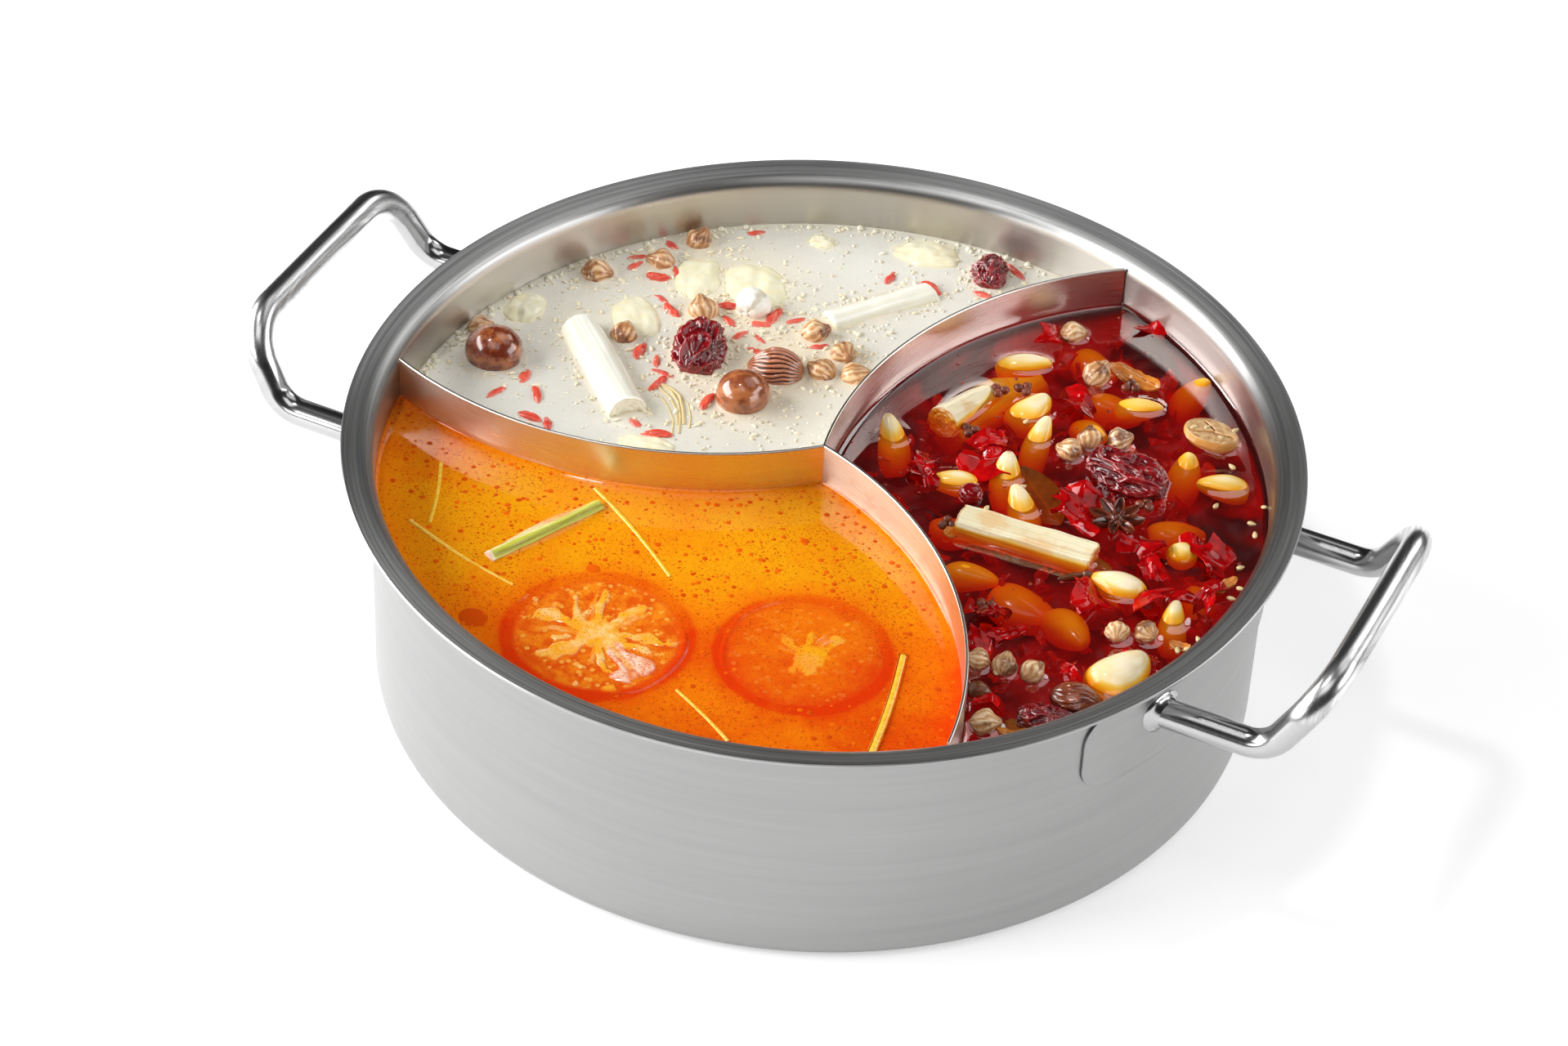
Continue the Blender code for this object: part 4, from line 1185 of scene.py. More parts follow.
def shardForm(seed):  # a folded piece of dried chilli skin
    u, v = flatGrid(17, 13)
    turn, lift = seed * 2.4, 0.35 + 0.3 * ((seed * 0.37) % 1)
    outline = 1 + 0.28 * wobble(u * 0 + seed, np.round(u * 1.5), v * 0.3, 1.0, seed * 3.3)
    x = u * outline + 0.22 * np.sin(3 * v + seed)
    y = v * (0.75 + 0.3 * wobble(u, v * 0, u * 0, 1.2, seed)) + 0.2 * np.sin(2.3 * u + seed)
    first = np.abs(x * math.cos(turn) + y * math.sin(turn) + 0.2)
    second = np.abs(x * math.cos(turn + 1.9) + y * math.sin(turn + 1.9) - 0.25)
    crumple = wobble(x, y, x * 0, 2.3, seed * 2.1)
    z = lift * (first - 0.8 * second) + 0.09 * np.abs(crumple) - 0.32 * u ** 2
    return slab(x, y, z, 0.10, 0.5 + crumple)


def leafForm(point=0.8):
    u, v = flatGrid(33, 15)
    width = (1 - np.abs(u) ** 2).clip(0, 1) ** point * 0.98 + 0.02
    rib = np.exp(-(v / 0.09) ** 2)
    side = 0.5 + 0.5 * np.cos((u * 7 + np.abs(v) * 2.2) * math.pi)
    z = -0.35 * (v * width) ** 2 + 0.10 * np.sin(2.2 * u) + 0.03 * side * (1 - rib) + 0.03 * rib
    return slab(u, v * width, z, 0.035, 0.35 + 0.3 * side + 0.5 * rib)


def driedSliceForm(seed):
    u, v = flatGrid(27, 15)
    width = (1 - np.abs(u) ** 2.6).clip(0, 1) ** 0.6 * 0.97 + 0.03
    rough = wobble(u, v * width, u * 0, 2.0, seed * 5.0, 3)
    streak = wobble(u * 0.7, v * 5, u * 0, 1.0, seed, 2)
    z = 0.30 * u ** 2 + 0.14 * rough + 0.05 * streak
    return slab(u * (1 + 0.06 * rough), v * width * (1 + 0.12 * rough), z, 0.16, 0.5 + streak)


def addGroup(name, material, items, nodes=(), sharp=50.0):  # items are (form, pose, mark)
    points, faces, tones, marks, start = [], [], [], [], 0
    for (shape, links, tone), pose, mark in items:
        points.append(pose.moved(shape) * mm)
        faces += [tuple(start + k for k in face) for face in links]
        tones.append(tone)
        marks.append(np.full(len(shape), mark))  # tells the items of one piece apart
        start += len(shape)
    tones, marks = np.concatenate(tones), np.concatenate(marks)
    mesh = meshOf(name, np.concatenate(points).tolist(), faces=faces, tone=tones, mark=marks)
    addPiece(name, facingOut(mesh), material, nodes, sharp)


def nutMaterial(name, dark, light, soak=False, ribbed=False):
    nodes = newMaterial(name)
    blotch = nodes.noise(190.0, 4.0, 0.65)
    if ribbed:
        share = nodes.attribute("tone").between(0.3, 0.95)
    else:
        share = (blotch.between(0.36, 0.66) + nodes.attribute("mark") * 0.35 - 0.1).clamped()
    colour = nodes.mix(share, dark, light)
    colour = nodes.mix(nodes.dots(900.0, 0.1, 0.3) * 0.45, colour, (58, 26, 14))
    return principled(
        nodes, Base_Color=soaked(nodes, colour) if soak else colour, Roughness=0.22, IOR=1.5,
        Coat_Weight=0.9, Coat_Roughness=0.05,
        Normal=nodes.bump(nodes.noise(420.0, 3.0) + blotch, 0.35, 0.22),
    )


podColours = {  # of the grooves, the flanks and the ribs
    "inMilk": ((104, 52, 26), (192, 134, 84), (238, 200, 152)),
    "inOil": ((104, 52, 26), (210, 154, 100), (248, 216, 170)),
}


def podMaterial(name, soak=False):
    nodes = newMaterial(name)
    groove, flank, rib = podColours["inOil" if soak else "inMilk"]
    grain = nodes.noise(650.0, 4.0, 0.6)
    share = (nodes.attribute("tone") + (grain - 0.5) * 0.7 + nodes.attribute("mark") * 0.25).clamped()
    colour = nodes.mix(share.between(-0.35, 0.35), groove, flank)
    colour = nodes.mix(share.between(0.3, 1.0), colour, rib)
    stain = nodes.noise(130.0, 3.0, 0.6, 0.5).between(0.52, 0.66)
    colour = nodes.mix(stain * 0.85, colour, (110, 50, 24))
    return principled(
        nodes, Base_Color=soaked(nodes, colour) if soak else colour, Roughness=0.32,
        Coat_Weight=0.5, Coat_Roughness=0.08, Normal=nodes.bump(grain, 0.4, 0.15),
    )


jujubeLooks = {
    "dark": (84, 5, 11), "light": (170, 25, 31), "patches": (128, 12, 22), "roughness": 0.16, "coat": 0.8,
}


def jujubeMaterial(name):
    looks, nodes = jujubeLooks, newMaterial(name)
    grain = nodes.noise(420.0, 4.0, 0.6)
    share = (nodes.attribute("tone") * 0.8 + (grain - 0.5) * 0.5).clamped()
    colour = nodes.mix(share, looks["dark"], looks["light"])
    colour = nodes.mix(nodes.noise(90.0).between(0.45, 0.7) * 0.5, colour, looks["patches"])
    return principled(
        nodes, Base_Color=colour, Roughness=looks["roughness"], IOR=1.45,
        Coat_Weight=looks["coat"], Coat_Roughness=0.04, Normal=nodes.bump(grain, 0.10, 0.2),
    )


garlicLooks = {
    "pale": (255, 240, 205), "warm": (250, 226, 168), "root": (186, 120, 54), "glow": 0.34,
    "roughness": 0.16,
}
cutGarlicLooks = {
    "skin": (226, 168, 92), "face": (222, 186, 136), "faceDark": (186, 138, 92), "cracks": (120, 64, 26),
    "glow": 0.4, "roughness": 0.25,
}


def garlicMaterial(name):
    looks, nodes = garlicLooks, newMaterial(name)
    cloud = nodes.noise(130.0, 3.0)
    colour = nodes.mix(cloud.between(0.3, 0.7), looks["pale"], looks["warm"])
    root = 1 - nodes.attribute("tone").between(-0.3, 0.15)
    tint = soaked(nodes, nodes.mix(root * 0.8, colour, looks["root"]), 2.9, 4.2)
    return principled(
        nodes, Base_Color=tint, Roughness=looks["roughness"], IOR=1.45,
        Normal=nodes.bump(cloud + nodes.noise(700.0) * 0.3, 0.12, 0.3),
        Emission_Color=underOil(nodes, tint, looks["glow"]), Emission_Strength=1.0,
    )


def cutGarlicMaterial(name):
    looks, nodes = cutGarlicLooks, newMaterial(name)
    tone = nodes.attribute("tone")
    fine = nodes.noise(520.0, 3.0)
    face = nodes.mix(fine.between(0.35, 0.65), looks["face"], looks["faceDark"])
    colour = nodes.mix(tone.between(0.6, 0.9), looks["skin"], face)
    colour = nodes.mix(1 - tone.between(0.1, 0.45), colour, looks["cracks"])
    tint = soaked(nodes, colour)
    return principled(
        nodes, Base_Color=tint, Roughness=looks["roughness"], Coat_Weight=0.3, Coat_Roughness=0.08,
        Normal=nodes.bump(fine, 0.2, 0.2),
        Emission_Color=underOil(nodes, tint, looks["glow"]), Emission_Strength=1.0,
    )


stalkLooks = {
    "side": (250, 249, 240), "fibre": (232, 228, 206), "layerGap": (246, 241, 218), "layer": (253, 250, 236),
    "oilTint": (255, 245, 220), "oilStain": (232, 178, 104), "oilEnd": (206, 140, 62),
    "milk": (236, 230, 196), "endGlow": (86, 83, 70), "roughness": 0.3,
}


def stalkMaterial(name, soak=False):  # in the milk, or soaked in the oil
    looks, nodes = stalkLooks, newMaterial(name)
    tone = nodes.attribute("tone")
    isSide = tone > 1.5
    fibre = tone.between(2.0, 2.45)
    grain = nodes.noise(500.0, 3.0)
    side = nodes.mix(fibre * 0.7 + grain * 0.25, looks["side"], looks["fibre"])
    end = nodes.mix(tone.between(0.2, 0.8), looks["layerGap"], looks["layer"])
    colour = nodes.mix(isSide, end, side)
    if soak:
        stain = nodes.noise(70.0, 3.0, 0.6).between(0.50, 0.66)
        colour = nodes.tinted(colour, looks["oilTint"])
        colour = nodes.mix(stain * 0.55, colour, looks["oilStain"])
        colour = nodes.mix(isSide, nodes.mix(0.6, colour, looks["oilEnd"]), colour)
        colour = soaked(nodes, colour, 0.8, 6.5)
        glow = underOil(nodes, colour, 0.42)
    else:
        wet = 1 - ((nodes.height() - levels["milky"]) - (grain - 0.5) * 1.2).between(0.2, 2.2)
        colour = nodes.mix(wet * 0.75, colour, looks["milk"])
        glow = nodes.mix(isSide, looks["endGlow"], (0, 0, 0, 1))  # light from within the cut ends
    return principled(
        nodes, Base_Color=colour, Roughness=looks["roughness"], Coat_Weight=0.2, Coat_Roughness=0.1,
        Normal=nodes.bump(fibre + grain * 0.4, 0.25, 0.2), Emission_Color=glow, Emission_Strength=1.0,
    )


def skinMaterial(name, dark, light, soak=False, roughness=0.16, scale=320.0, relief=0.35, veil=None,
                 ior=1.42, coat=0.4):
    nodes = newMaterial(name)
    grain = nodes.noise(scale, 4.0, 0.6)
    share = (nodes.attribute("tone") * 0.5 + (grain - 0.5) * 0.9 + nodes.attribute("mark") * 0.5).clamped()
    colour = nodes.mix(share, dark, light)
    glow = (0, 0, 0, 1)
    if soak:
        colour = soaked(nodes, colour)
        glow = underOil(nodes, colour, 0.3)
    if veil:  # the milk that clings to it
        height = nodes.height() - levels["milky"] + (grain - 0.5) * 2.0
        colour = nodes.mix((1 - height.between(-0.4, 0.9)) * 0.6, colour, veil)
    return principled(
        nodes, Base_Color=colour, Roughness=roughness, IOR=ior, Coat_Weight=coat, Coat_Roughness=0.03,
        Normal=nodes.bump(grain, relief, 0.25), Emission_Color=glow, Emission_Strength=1.0,
    )


def grainMaterial(name, dark, light, roughness=0.3):  # for small things: tones of one colour
    nodes = newMaterial(name)
    grain = nodes.noise(500.0, 3.0)
    share = (nodes.attribute("mark") * 0.6 + (grain - 0.5) * 0.8 + 0.2).clamped()
    colour = nodes.mix(share, dark, light)
    return principled(nodes, Base_Color=colour, Roughness=roughness, Normal=nodes.bump(grain, 0.2, 0.1))


def darker(colour, share):  # a picker colour with that share of its light left
    return (*[c * share for c in linear(*colour)[:3]], 1.0)


whitePodLooks = {"groove": (214, 204, 176), "lobe": (252, 250, 240), "roughness": 0.4}
stemLooks = {
    "dark": (150, 142, 22), "light": (206, 206, 70), "cutEnd": (250, 226, 196), "roughness": 0.2,
}


def whitePodMaterial():
    looks, nodes = whitePodLooks, newMaterial("whitePod")
    colour = nodes.mix(nodes.attribute("tone").between(0.0, 0.7), looks["groove"], looks["lobe"])
    return principled(
        nodes, Base_Color=colour, Roughness=looks["roughness"], Coat_Weight=0.15, Coat_Roughness=0.2,
        Normal=nodes.bump(nodes.noise(380.0, 3.0), 0.25, 0.2),
    )


def stemMaterial():
    looks, nodes = stemLooks, newMaterial("greenStem")
    tone = nodes.attribute("tone")
    grain = nodes.noise(420.0, 3.0)
    colour = nodes.mix((tone * 0.7 + grain * 0.5).clamped(), looks["dark"], looks["light"])
    colour = nodes.mix(tone.between(1.1, 1.5), colour, looks["cutEnd"])
    return principled(
        nodes, Base_Color=colour, Roughness=looks["roughness"], Coat_Weight=0.4, Coat_Roughness=0.05,
        Normal=nodes.bump(grain, 0.3, 0.2),
    )


def named(kind, start):
    return [node for node in toppingGroups[kind] if node.startswith(start)]


def makePods():
    shapes = [podForm(seed) for seed in range(1, 6)]
    for kind in ("milky", "red"):
        names = named(kind, "pod_")
        items = [(shapes[i * 7 % 5], poses[n], (i * 0.37) % 1) for i, n in enumerate(names)]
        addGroup(f"pods_{kind}", podMaterial(f"podIn_{kind}", kind == "red"), items, names)


nutmegs = {  # for each piece: its nodes and forms, then its dark and light brown
    "nutmegs": (["nutmeg_left", "nutmeg_middle"], [{"seed": 1}, {"seed": 2}], (116, 46, 26), (186, 112, 66)),
    "ridgedNutmeg": (["nutmeg_ridged"], [{"seed": 3, "ribs": 26, "rows": 60, "around": 264}],
                     (44, 14, 10), (196, 124, 90)),
    "oiledNutmeg": (["nutmeg_red"], [{"seed": 4, "ribs": 14, "rows": 60, "around": 140}],
                    (96, 34, 20), (150, 74, 42)),
}


def makeNutmegs():
    for name, (names, forms, dark, light) in nutmegs.items():
        marks = [0.0, 1.0] if len(names) == 2 else [0.5]
        items = [(nutForm(**form), poses[n], mark) for n, form, mark in zip(names, forms, marks)]
        material = nutMaterial(name + "Shell", dark, light, name == "oiledNutmeg", name == "ridgedNutmeg")
        addGroup(name, material, items, names)


def makeJujubes():
    for kind in ("milky", "red"):
        names = named(kind, "jujube")
        items = [(jujubeForm(len(kind) + i), poses[n], 0.5) for i, n in enumerate(names)]
        addGroup(f"jujubes_{kind}", jujubeMaterial(f"jujubeIn_{kind}"), items, names, sharp=180)


def makeGarlic():
    cloves = [n for n in named("red", "garlic_") if n != "garlic_half"]
    shapes = [cloveForm(seed) for seed in range(1, 5)]
    items = [(shapes[i % 4], poses[n], 0.5) for i, n in enumerate(cloves)]
    addGroup("garlicCloves", garlicMaterial("garlicInOil"), items, cloves, sharp=180)
    items = [(halfCloveForm(), poses["garlic_half"], 0.5)]
    addGroup("halfClove", cutGarlicMaterial("cutGarlic"), items, ["garlic_half"])


def makeScallions():
    near, far = "scallion_milky_near", "scallion_milky_far"
    poses[far].half = poses[far].half * (1.0, 1.2, 1.05)  # the far one is thicker and lies deeper
    poses[far].middle = poses[far].middle - (0, 0, 2.6)
    items = [(stalkForm(1), poses[near], 0.5), (stalkForm(2), poses[far], 0.5)]
    addGroup("scallions_milky", stalkMaterial("scallionInMilk"), items, [near, far], sharp=60)
    near, far = "scallion_red_near", "scallion_red_far"
    items = [(stalkForm(5, flatTop=True), poses[near], 0.5), (stalkForm(6), poses[far], 0.5)]
    material = stalkMaterial("scallionInOil", soak=True)
    addGroup("scallions_red", material, items, [near, far], sharp=60)


makePods()
makeNutmegs()
makeJujubes()
makeGarlic()
makeScallions()
items = [(lobedForm(), poses["white_cardamom"], 0.5)]
addGroup("whiteCardamom", whitePodMaterial(), items, ["white_cardamom"])
print("pods, nutmegs, jujubes, garlic and scallions are made")


fleshLooks = {
    "flesh": ((236, 92, 20), (222, 72, 16)), "pulp": ((222, 84, 14), (242, 140, 28)),
    "kernels": (250, 196, 84), "core": ((250, 174, 44), (255, 222, 150)),
    "broadRib": ((244, 168, 130), (255, 228, 206)), "skin": (206, 46, 16), "roughness": 0.11,
}


def tomatoFlesh():
    looks, nodes = fleshLooks, newMaterial("tomatoFlesh")
    fine = nodes.noise(520.0, 4.0, 0.65)
    cloud = nodes.noise(150.0, 4.0, 0.6)
    keys = ("rib", "broad", "jelly", "skin", "veil")
    rib, broad, jelly, skin, veil = [nodes.attribute(key) for key in keys]
    flesh = nodes.mix(cloud.between(0.4, 0.62), *looks["flesh"])
    pulp = nodes.mix(cloud.between(0.4, 0.62), *looks["pulp"])
    pulp = nodes.mix(nodes.dots(330.0, 0.22, 0.34) * 0.7, pulp, looks["kernels"])
    colour = nodes.mix(jelly, flesh, pulp)
    core = nodes.mix(cloud.between(0.42, 0.7), *looks["core"])
    colour = nodes.mix(rib.between(0.15, 0.7), colour, core)
    pale = nodes.mix(fine.between(0.4, 0.62), *looks["broadRib"])
    colour = nodes.mix(broad.between(0.15, 0.8), colour, pale)
    colour = nodes.mix(skin * 0.8, colour, looks["skin"])
    broth, brothHeight, specks = tomatoSkin(nodes, nodes.attribute("deep"))
    colour = nodes.mix(specks * 0.7, colour, tomatoLooks["speck"])
    veil = (veil + (cloud - 0.5) * 0.5 * veil.between(0.0, 0.1)).clamped()
    return principled(
        nodes, Base_Color=nodes.mix(veil, colour, broth), Roughness=looks["roughness"], IOR=1.5,
        Normal=nodes.bump(fine * 0.7 + cloud + brothHeight * 0.5, 0.25, 0.25),
    )


def makeTomatoSlice(side, looks, material, rings=80, around=300):
    node = f"tomato_slice_{side}"
    pose, level = poses[node], levels["tomato"]
    radius = np.repeat(np.linspace(0, 1, rings)[:, None], around, 1)
    angle = np.repeat(np.linspace(0, 2 * math.pi, around, endpoint=False)[None, :], rings, 0)
    rib, broad, jelly, _, drift = slicePattern(looks, radius, angle)
    outline = 1 + 0.012 * np.sin(3 * angle + looks["seed"]) + 0.008 * np.sin(7 * angle)
    reach = radius * outline / outline.max() * sliceRadius(side)
    x, y = pose.middle[0] + reach * np.cos(angle), pose.middle[1] + reach * np.sin(angle)
    facing = smooth(np.cos(angle - math.radians(looks["rim"])), 0.45, 0.85)
    edge = facing * np.exp(-((radius - 0.93) / 0.035) ** 2)  # where the skin stands out of the broth
    top = 0.14 * (1 - smooth(radius, 0.70, 0.93)) - 0.14 * smooth(radius, 0.88, 0.96)
    top = top + looks["rise"] * np.maximum(rib, broad) + 0.4 * edge * (0.8 + 0.5 * drift)
    z = level + np.minimum(top, pose.middle[2] + pose.half[2] - level) - 2.2 * smooth(radius, 0.98, 1.0)
    away = np.full_like(x, 60.0)  # the slices lie far from the walls
    values = {
        "rib": rib, "broad": broad, "jelly": jelly, "skin": looks["skin"] * edge,
        "veil": np.maximum(looks["veil"], smooth(radius, 0.80, 0.93)), "deep": deepTomato(x, y, away, away),
    }
    x, y = np.vstack([x, x[-1:]]), np.vstack([y, y[-1:]])
    z = np.vstack([z, np.full((1, around), pose.middle[2] - pose.half[2])])
    for key, grid in values.items():
        values[key] = np.vstack([grid, np.full((1, around), float(key == "skin"))])
    bm = bmesh.new()
    rows = vertRows(bm, x, y, z, values)
    joinRows(bm, rows, closed=True)
    bm.faces.new(rows[-1])
    bmesh.ops.remove_doubles(bm, verts=bm.verts, dist=0.001 * mm)
    bmesh.ops.recalc_face_normals(bm, faces=bm.faces)
    addPiece(f"tomatoSlice_{side}", meshFrom(bm, node), material, [node], sharp=60)


flesh = tomatoFlesh()
for side, looks in sliceForm.items():
    makeTomatoSlice(side, looks, flesh)
items = [(stemForm(), poses["green_stem"], 0.5)]
addGroup("greenStem", stemMaterial(), items, ["green_stem"])
print("tomato slices and stem are made")


def scatterTree():  # one shape on every point, turned and sized by the point's own values
    group, nodes, given = geometryTree("scatterOnPoints", {"Shape": ""})
    shape = nodes.node("GeometryNodeObjectInfo", {}, {"Object": given["Shape"]}, out="Geometry")
    turn, size = [
        nodes.node("GeometryNodeInputNamedAttribute", {"data_type": "FLOAT_VECTOR"}, {"Name": key})
        for key in ("turn", "size")
    ]
    values = {"Points": given["Geometry"], "Instance": shape, "Rotation": turn, "Scale": size}
    closeTree(nodes, given, nodes.node("GeometryNodeInstanceOnPoints", {}, values))
    return group


def coverTree():  # random pieces over a surface, thick where its "cover" value is high
    inputs = {"Shape": "", "Gap": 0.001, "Density": 1000.0, "Smallest": 0.001, "Largest": 0.002,
              "Lift": 0.0, "Tumble": 0.0, "Seed": 1}
    group, nodes, given = geometryTree("coverSurface", inputs)

    def chance(step, low=0.0, high=1.0):
        values = {2: low, 3: high, 8: given["Seed"] + step if step else given["Seed"]}
        return nodes.node("FunctionNodeRandomValue", {"data_type": "FLOAT"}, values, out=1)

    share = nodes.node("GeometryNodeInputNamedAttribute", {"data_type": "FLOAT"}, {"Name": "cover"})
    spots = nodes.node(
        "GeometryNodeDistributePointsOnFaces", {"distribute_method": "POISSON"},
        {"Mesh": given["Geometry"], "Distance Min": given["Gap"], "Density Max": given["Density"],
         "Density Factor": share, "Seed": given["Seed"]},
    )
    size = given["Smallest"] + (given["Largest"] - given["Smallest"]) * chance(0) ** 3.0
    lift = nodes.vector(0.0, 0.0, chance(3, high=given["Lift"]))
    spots = nodes.node("GeometryNodeSetPosition", {}, {"Geometry": spots, "Offset": lift})
    tumbles = [chance(step, given["Tumble"] * -1, given["Tumble"]) for step in (5, 6)]
    shape = nodes.node("GeometryNodeObjectInfo", {}, {"Object": given["Shape"]}, out="Geometry")
    turns = nodes.vector(*tumbles, chance(7, high=6.283))
    values = {"Points": spots, "Instance": shape, "Rotation": turns, "Scale": size}
    placed = nodes.node("GeometryNodeInstanceOnPoints", {}, values)
    placed = nodes.node(
        "GeometryNodeStoreNamedAttribute", {"data_type": "FLOAT", "domain": "INSTANCE"},
        {"Geometry": placed, "Name": "mark", "Value": chance(9)},
    )
    closeTree(nodes, given, placed)
    return group


scatterGroup, coverGroup = scatterTree(), coverTree()


def unitShape(form, squash=(1, 1, 1)):  # a form as a mesh two metres across, to be scaled down
    points, faces, tones = form
    return addObject("shape", facingOut(meshOf("shape", (points * squash).tolist(), faces=faces, tone=tones)))


def instanced(name, mesh, group, shape, material, slot, sharp, **values):
    made = throughTree(name, mesh, group, {"Shape": shape, "Material": material, **values})
    bpy.data.objects.remove(shape, do_unlink=True)
    addPiece(name, made, None, sharp=sharp)


def scatter(name, shape, places, material, slot):  # a shape at each pose
    marks = [(i * 0.618) % 1 for i in range(len(places))]
    mesh = meshOf(name, [tuple(p.middle * mm) for p in places], mark=marks)
    turns = [Matrix(p.axes.T.tolist()).to_euler() for p in places]
    for key, rows in (("turn", turns), ("size", [p.half * mm for p in places])):
        data = mesh.attributes.new(key, "FLOAT_VECTOR", "POINT").data
        data.foreach_set("vector", np.array([list(r) for r in rows]).ravel())
    instanced(name, mesh, scatterGroup, shape, material, slot, 70)


coverings = {  # in mm: gap between pieces, smallest and largest half size, lift; density is per m²
    "milkyGrains": {"gap": 0.9, "density": 160000.0, "smallest": 0.6, "largest": 1.7, "lift": 0.4,
                    "tumble": 0.25, "seed": 4},
    "milkyBeads": {"gap": 1.0, "density": 120000.0, "smallest": 0.16, "largest": 0.75, "seed": 9},
    "milkyFroth": {"gap": 1.3, "density": 260000.0, "smallest": 0.5, "largest": 1.6, "seed": 12},
    "oilDrops": {"gap": 1.1, "density": 90000.0, "smallest": 0.16, "largest": 1.05, "seed": 21},
    "deepChillies": {"gap": 9.5, "density": 9000.0, "smallest": 3.0, "largest": 7.0, "lift": 8.0,
                     "tumble": 0.6, "seed": 31},
    "chilliFlecks": {"gap": 3.0, "density": 9000.0, "smallest": 0.25, "largest": 1.0, "tumble": 0.4,
                     "seed": 44},
}


def cover(kind, surface, share, shape, material, slot, number=0, sharp=70):  # over a broth's grid
    name, step = kind + (str(number) if number else ""), 2
    x, y, z, share = [grid[::step, ::step] for grid in (*surface, share)]
    rows, columns = x.shape
    faces = [
        (i * columns + j, (i + 1) * columns + j, (i + 1) * columns + j + 1, i * columns + j + 1)
        for i in range(rows - 1) for j in range(columns - 1)
    ]
    points = (np.stack([x, y, z], -1).reshape(-1, 3) * mm).tolist()
    mesh = meshOf(name, points, faces=faces, cover=share.clip(0, 1).ravel())
    lengths = ("gap", "smallest", "largest", "lift")
    values = {key.capitalize(): v * mm if key in lengths else v for key, v in coverings[kind].items()}
    values["Seed"] += max(number - 1, 0)
    instanced(name, mesh, coverGroup, shape, material, slot, sharp, **values)


wolfberries = {
    "size": (10.8, 4.3, 3.4), "lift": -0.25,
    "places": [
        (-106, 97), (-84, 119), (-113, 80), (-114, 86), (-102, 78), (-99, 85), (-30, 118), (-14, 119),
        (4, 125), (-96, 68), (-89, 63), (-73, 75), (-68, 67), (-56, 77), (-49, 78), (-56, 64), (-52, 57),
        (-62, 62), (-35, 69), (-88, 38), (-80, 34), (-75, 30), (-74, 24), (-55, 23), (-70, 0), (-62, -1),
        (-116, 5), (-121, -8), (-108, -1), (-104, -13), (-97, -14), (8, 143), (-58, 71),
    ],
}


def makeWolfberries(level):
    random = np.random.default_rng(11)
    skin = skinMaterial("wolfberrySkin", (206, 38, 30), (246, 104, 80), veil=(238, 176, 158), roughness=0.2,
                        scale=420.0)
    forms = [berryForm(seed) for seed in range(1, 7)]
    items = []
    for k, (x, y) in enumerate(wolfberries["places"]):
        z = level + wolfberries["lift"] + random.uniform(-0.9, 0.5)
        size = np.array(wolfberries["size"]) * (random.uniform(0.8, 1.12), random.uniform(0.75, 1.15), 1.0)
        turns = random.uniform(0, 180) - 30, random.uniform(-9, 9), random.uniform(-40, 40)
        items.append((forms[k % 6], flatPose(x, y, z, size, *turns), random.uniform(0, 1)))
    addGroup("wolfberries", skin, items, sharp=180)


def makeGrains(surface, values):  # grains of spice and beads of fat
    near, shown = values["near"], values["open"]
    grain = grainMaterial("sesameCream", (238, 220, 182), (255, 250, 226), 0.25)
    shape = unitShape(kernelForm(6, 8, pointed=True), (1.0, 0.55, 0.42))
    share = (0.06 + 1.9 * near + 0.55 * values["warm"] + 0.9 * values["wall"]) * shown
    cover("milkyGrains", surface, share, shape, grain, "milky_broth")
    fat = grainMaterial("fatBeads", (206, 196, 170), (255, 254, 246), 0.08)
    shape = unitShape(kernelForm(5, 8), (1, 1, 0.6))
    cover("milkyBeads", surface, 0.5 * shown + near, shape, fat, "milky_broth")


def makeFroth(surface, wall):  # along the walls, on the left
    light = (240, 234, 212)
    froth = grainMaterial("froth", darker(light, 0.872), light, 0.06)
    share = 0.9 * (wall > 0.18) * (surface[0] < 20)
    cover("milkyFroth", surface, share, unitShape(kernelForm(7, 12), (1, 1, 0.8)), froth, "milky_broth")


def makeGarlicSlices(level):
    nodes = newMaterial("garlicInMilk")
    above = nodes.height() - level + (nodes.noise(300.0, 3.0) - 0.5) * 0.5
    vein = nodes.noise(240.0, 3.0, 0.6, 0.6)
    colour = nodes.mix(vein.between(0.4, 0.7), (248, 243, 214), (244, 233, 190))
    colour = nodes.mix((1 - above.between(0.0, 0.9)) * 0.6, colour, (232, 222, 182))
    pale = principled(nodes, Base_Color=colour, Roughness=0.22, Coat_Weight=0.2, Coat_Roughness=0.08,
                      Normal=nodes.bump(vein, 0.3, 0.3))
    items = []
    for k, (x, y, length, width, turn) in enumerate(sunkGarlic):
        pose = flatPose(x, y, level - 1.2, (2.2 * length, 2.2 * width, 6.4), turn, 1.5)
        items.append((garlicSliceForm(20 + k), pose, 0.5))
    addGroup("garlicSlices", pale, items, sharp=180)


rootHairs = {
    "radius": 0.62, "thinner": 0.08, "bend": 2.5,  # each hair is thinner than the one before
    "paths": [
        [(-74, 24), (-69, 23.5), (-64.4, 21.2), (-60, 15), (-56, 8)],
        [(-74, 24), (-68, 22), (-63, 17.5), (-59, 11), (-55.3, 2.7)],
        [(-73, 22), (-67, 19), (-62, 14), (-58, 7)],
        [(-70, 18), (-65, 14), (-60, 8), (-57, 1)],
        [(-66, 22), (-60, 19), (-56, 13), (-53.5, 7)],
    ],
}


def makeRootHairs(level):
    light = (240, 218, 160)
    tan = grainMaterial("rootTan", darker(light, 0.84), light, 0.4)
    for k, path in enumerate(rootHairs["paths"]):
        points = [Vector((x, y, level + 0.02 + 0.15 * math.sin(k + i))) * mm for i, (x, y) in enumerate(path)]
        bends = [0.0] + [rootHairs["bend"] * mm] * (len(points) - 2) + [0.0]
        radius = rootHairs["radius"] - rootHairs["thinner"] * k
        addRod(f"rootHair{k + 1}", points, bends, radius, 8, tan, sharp=80)


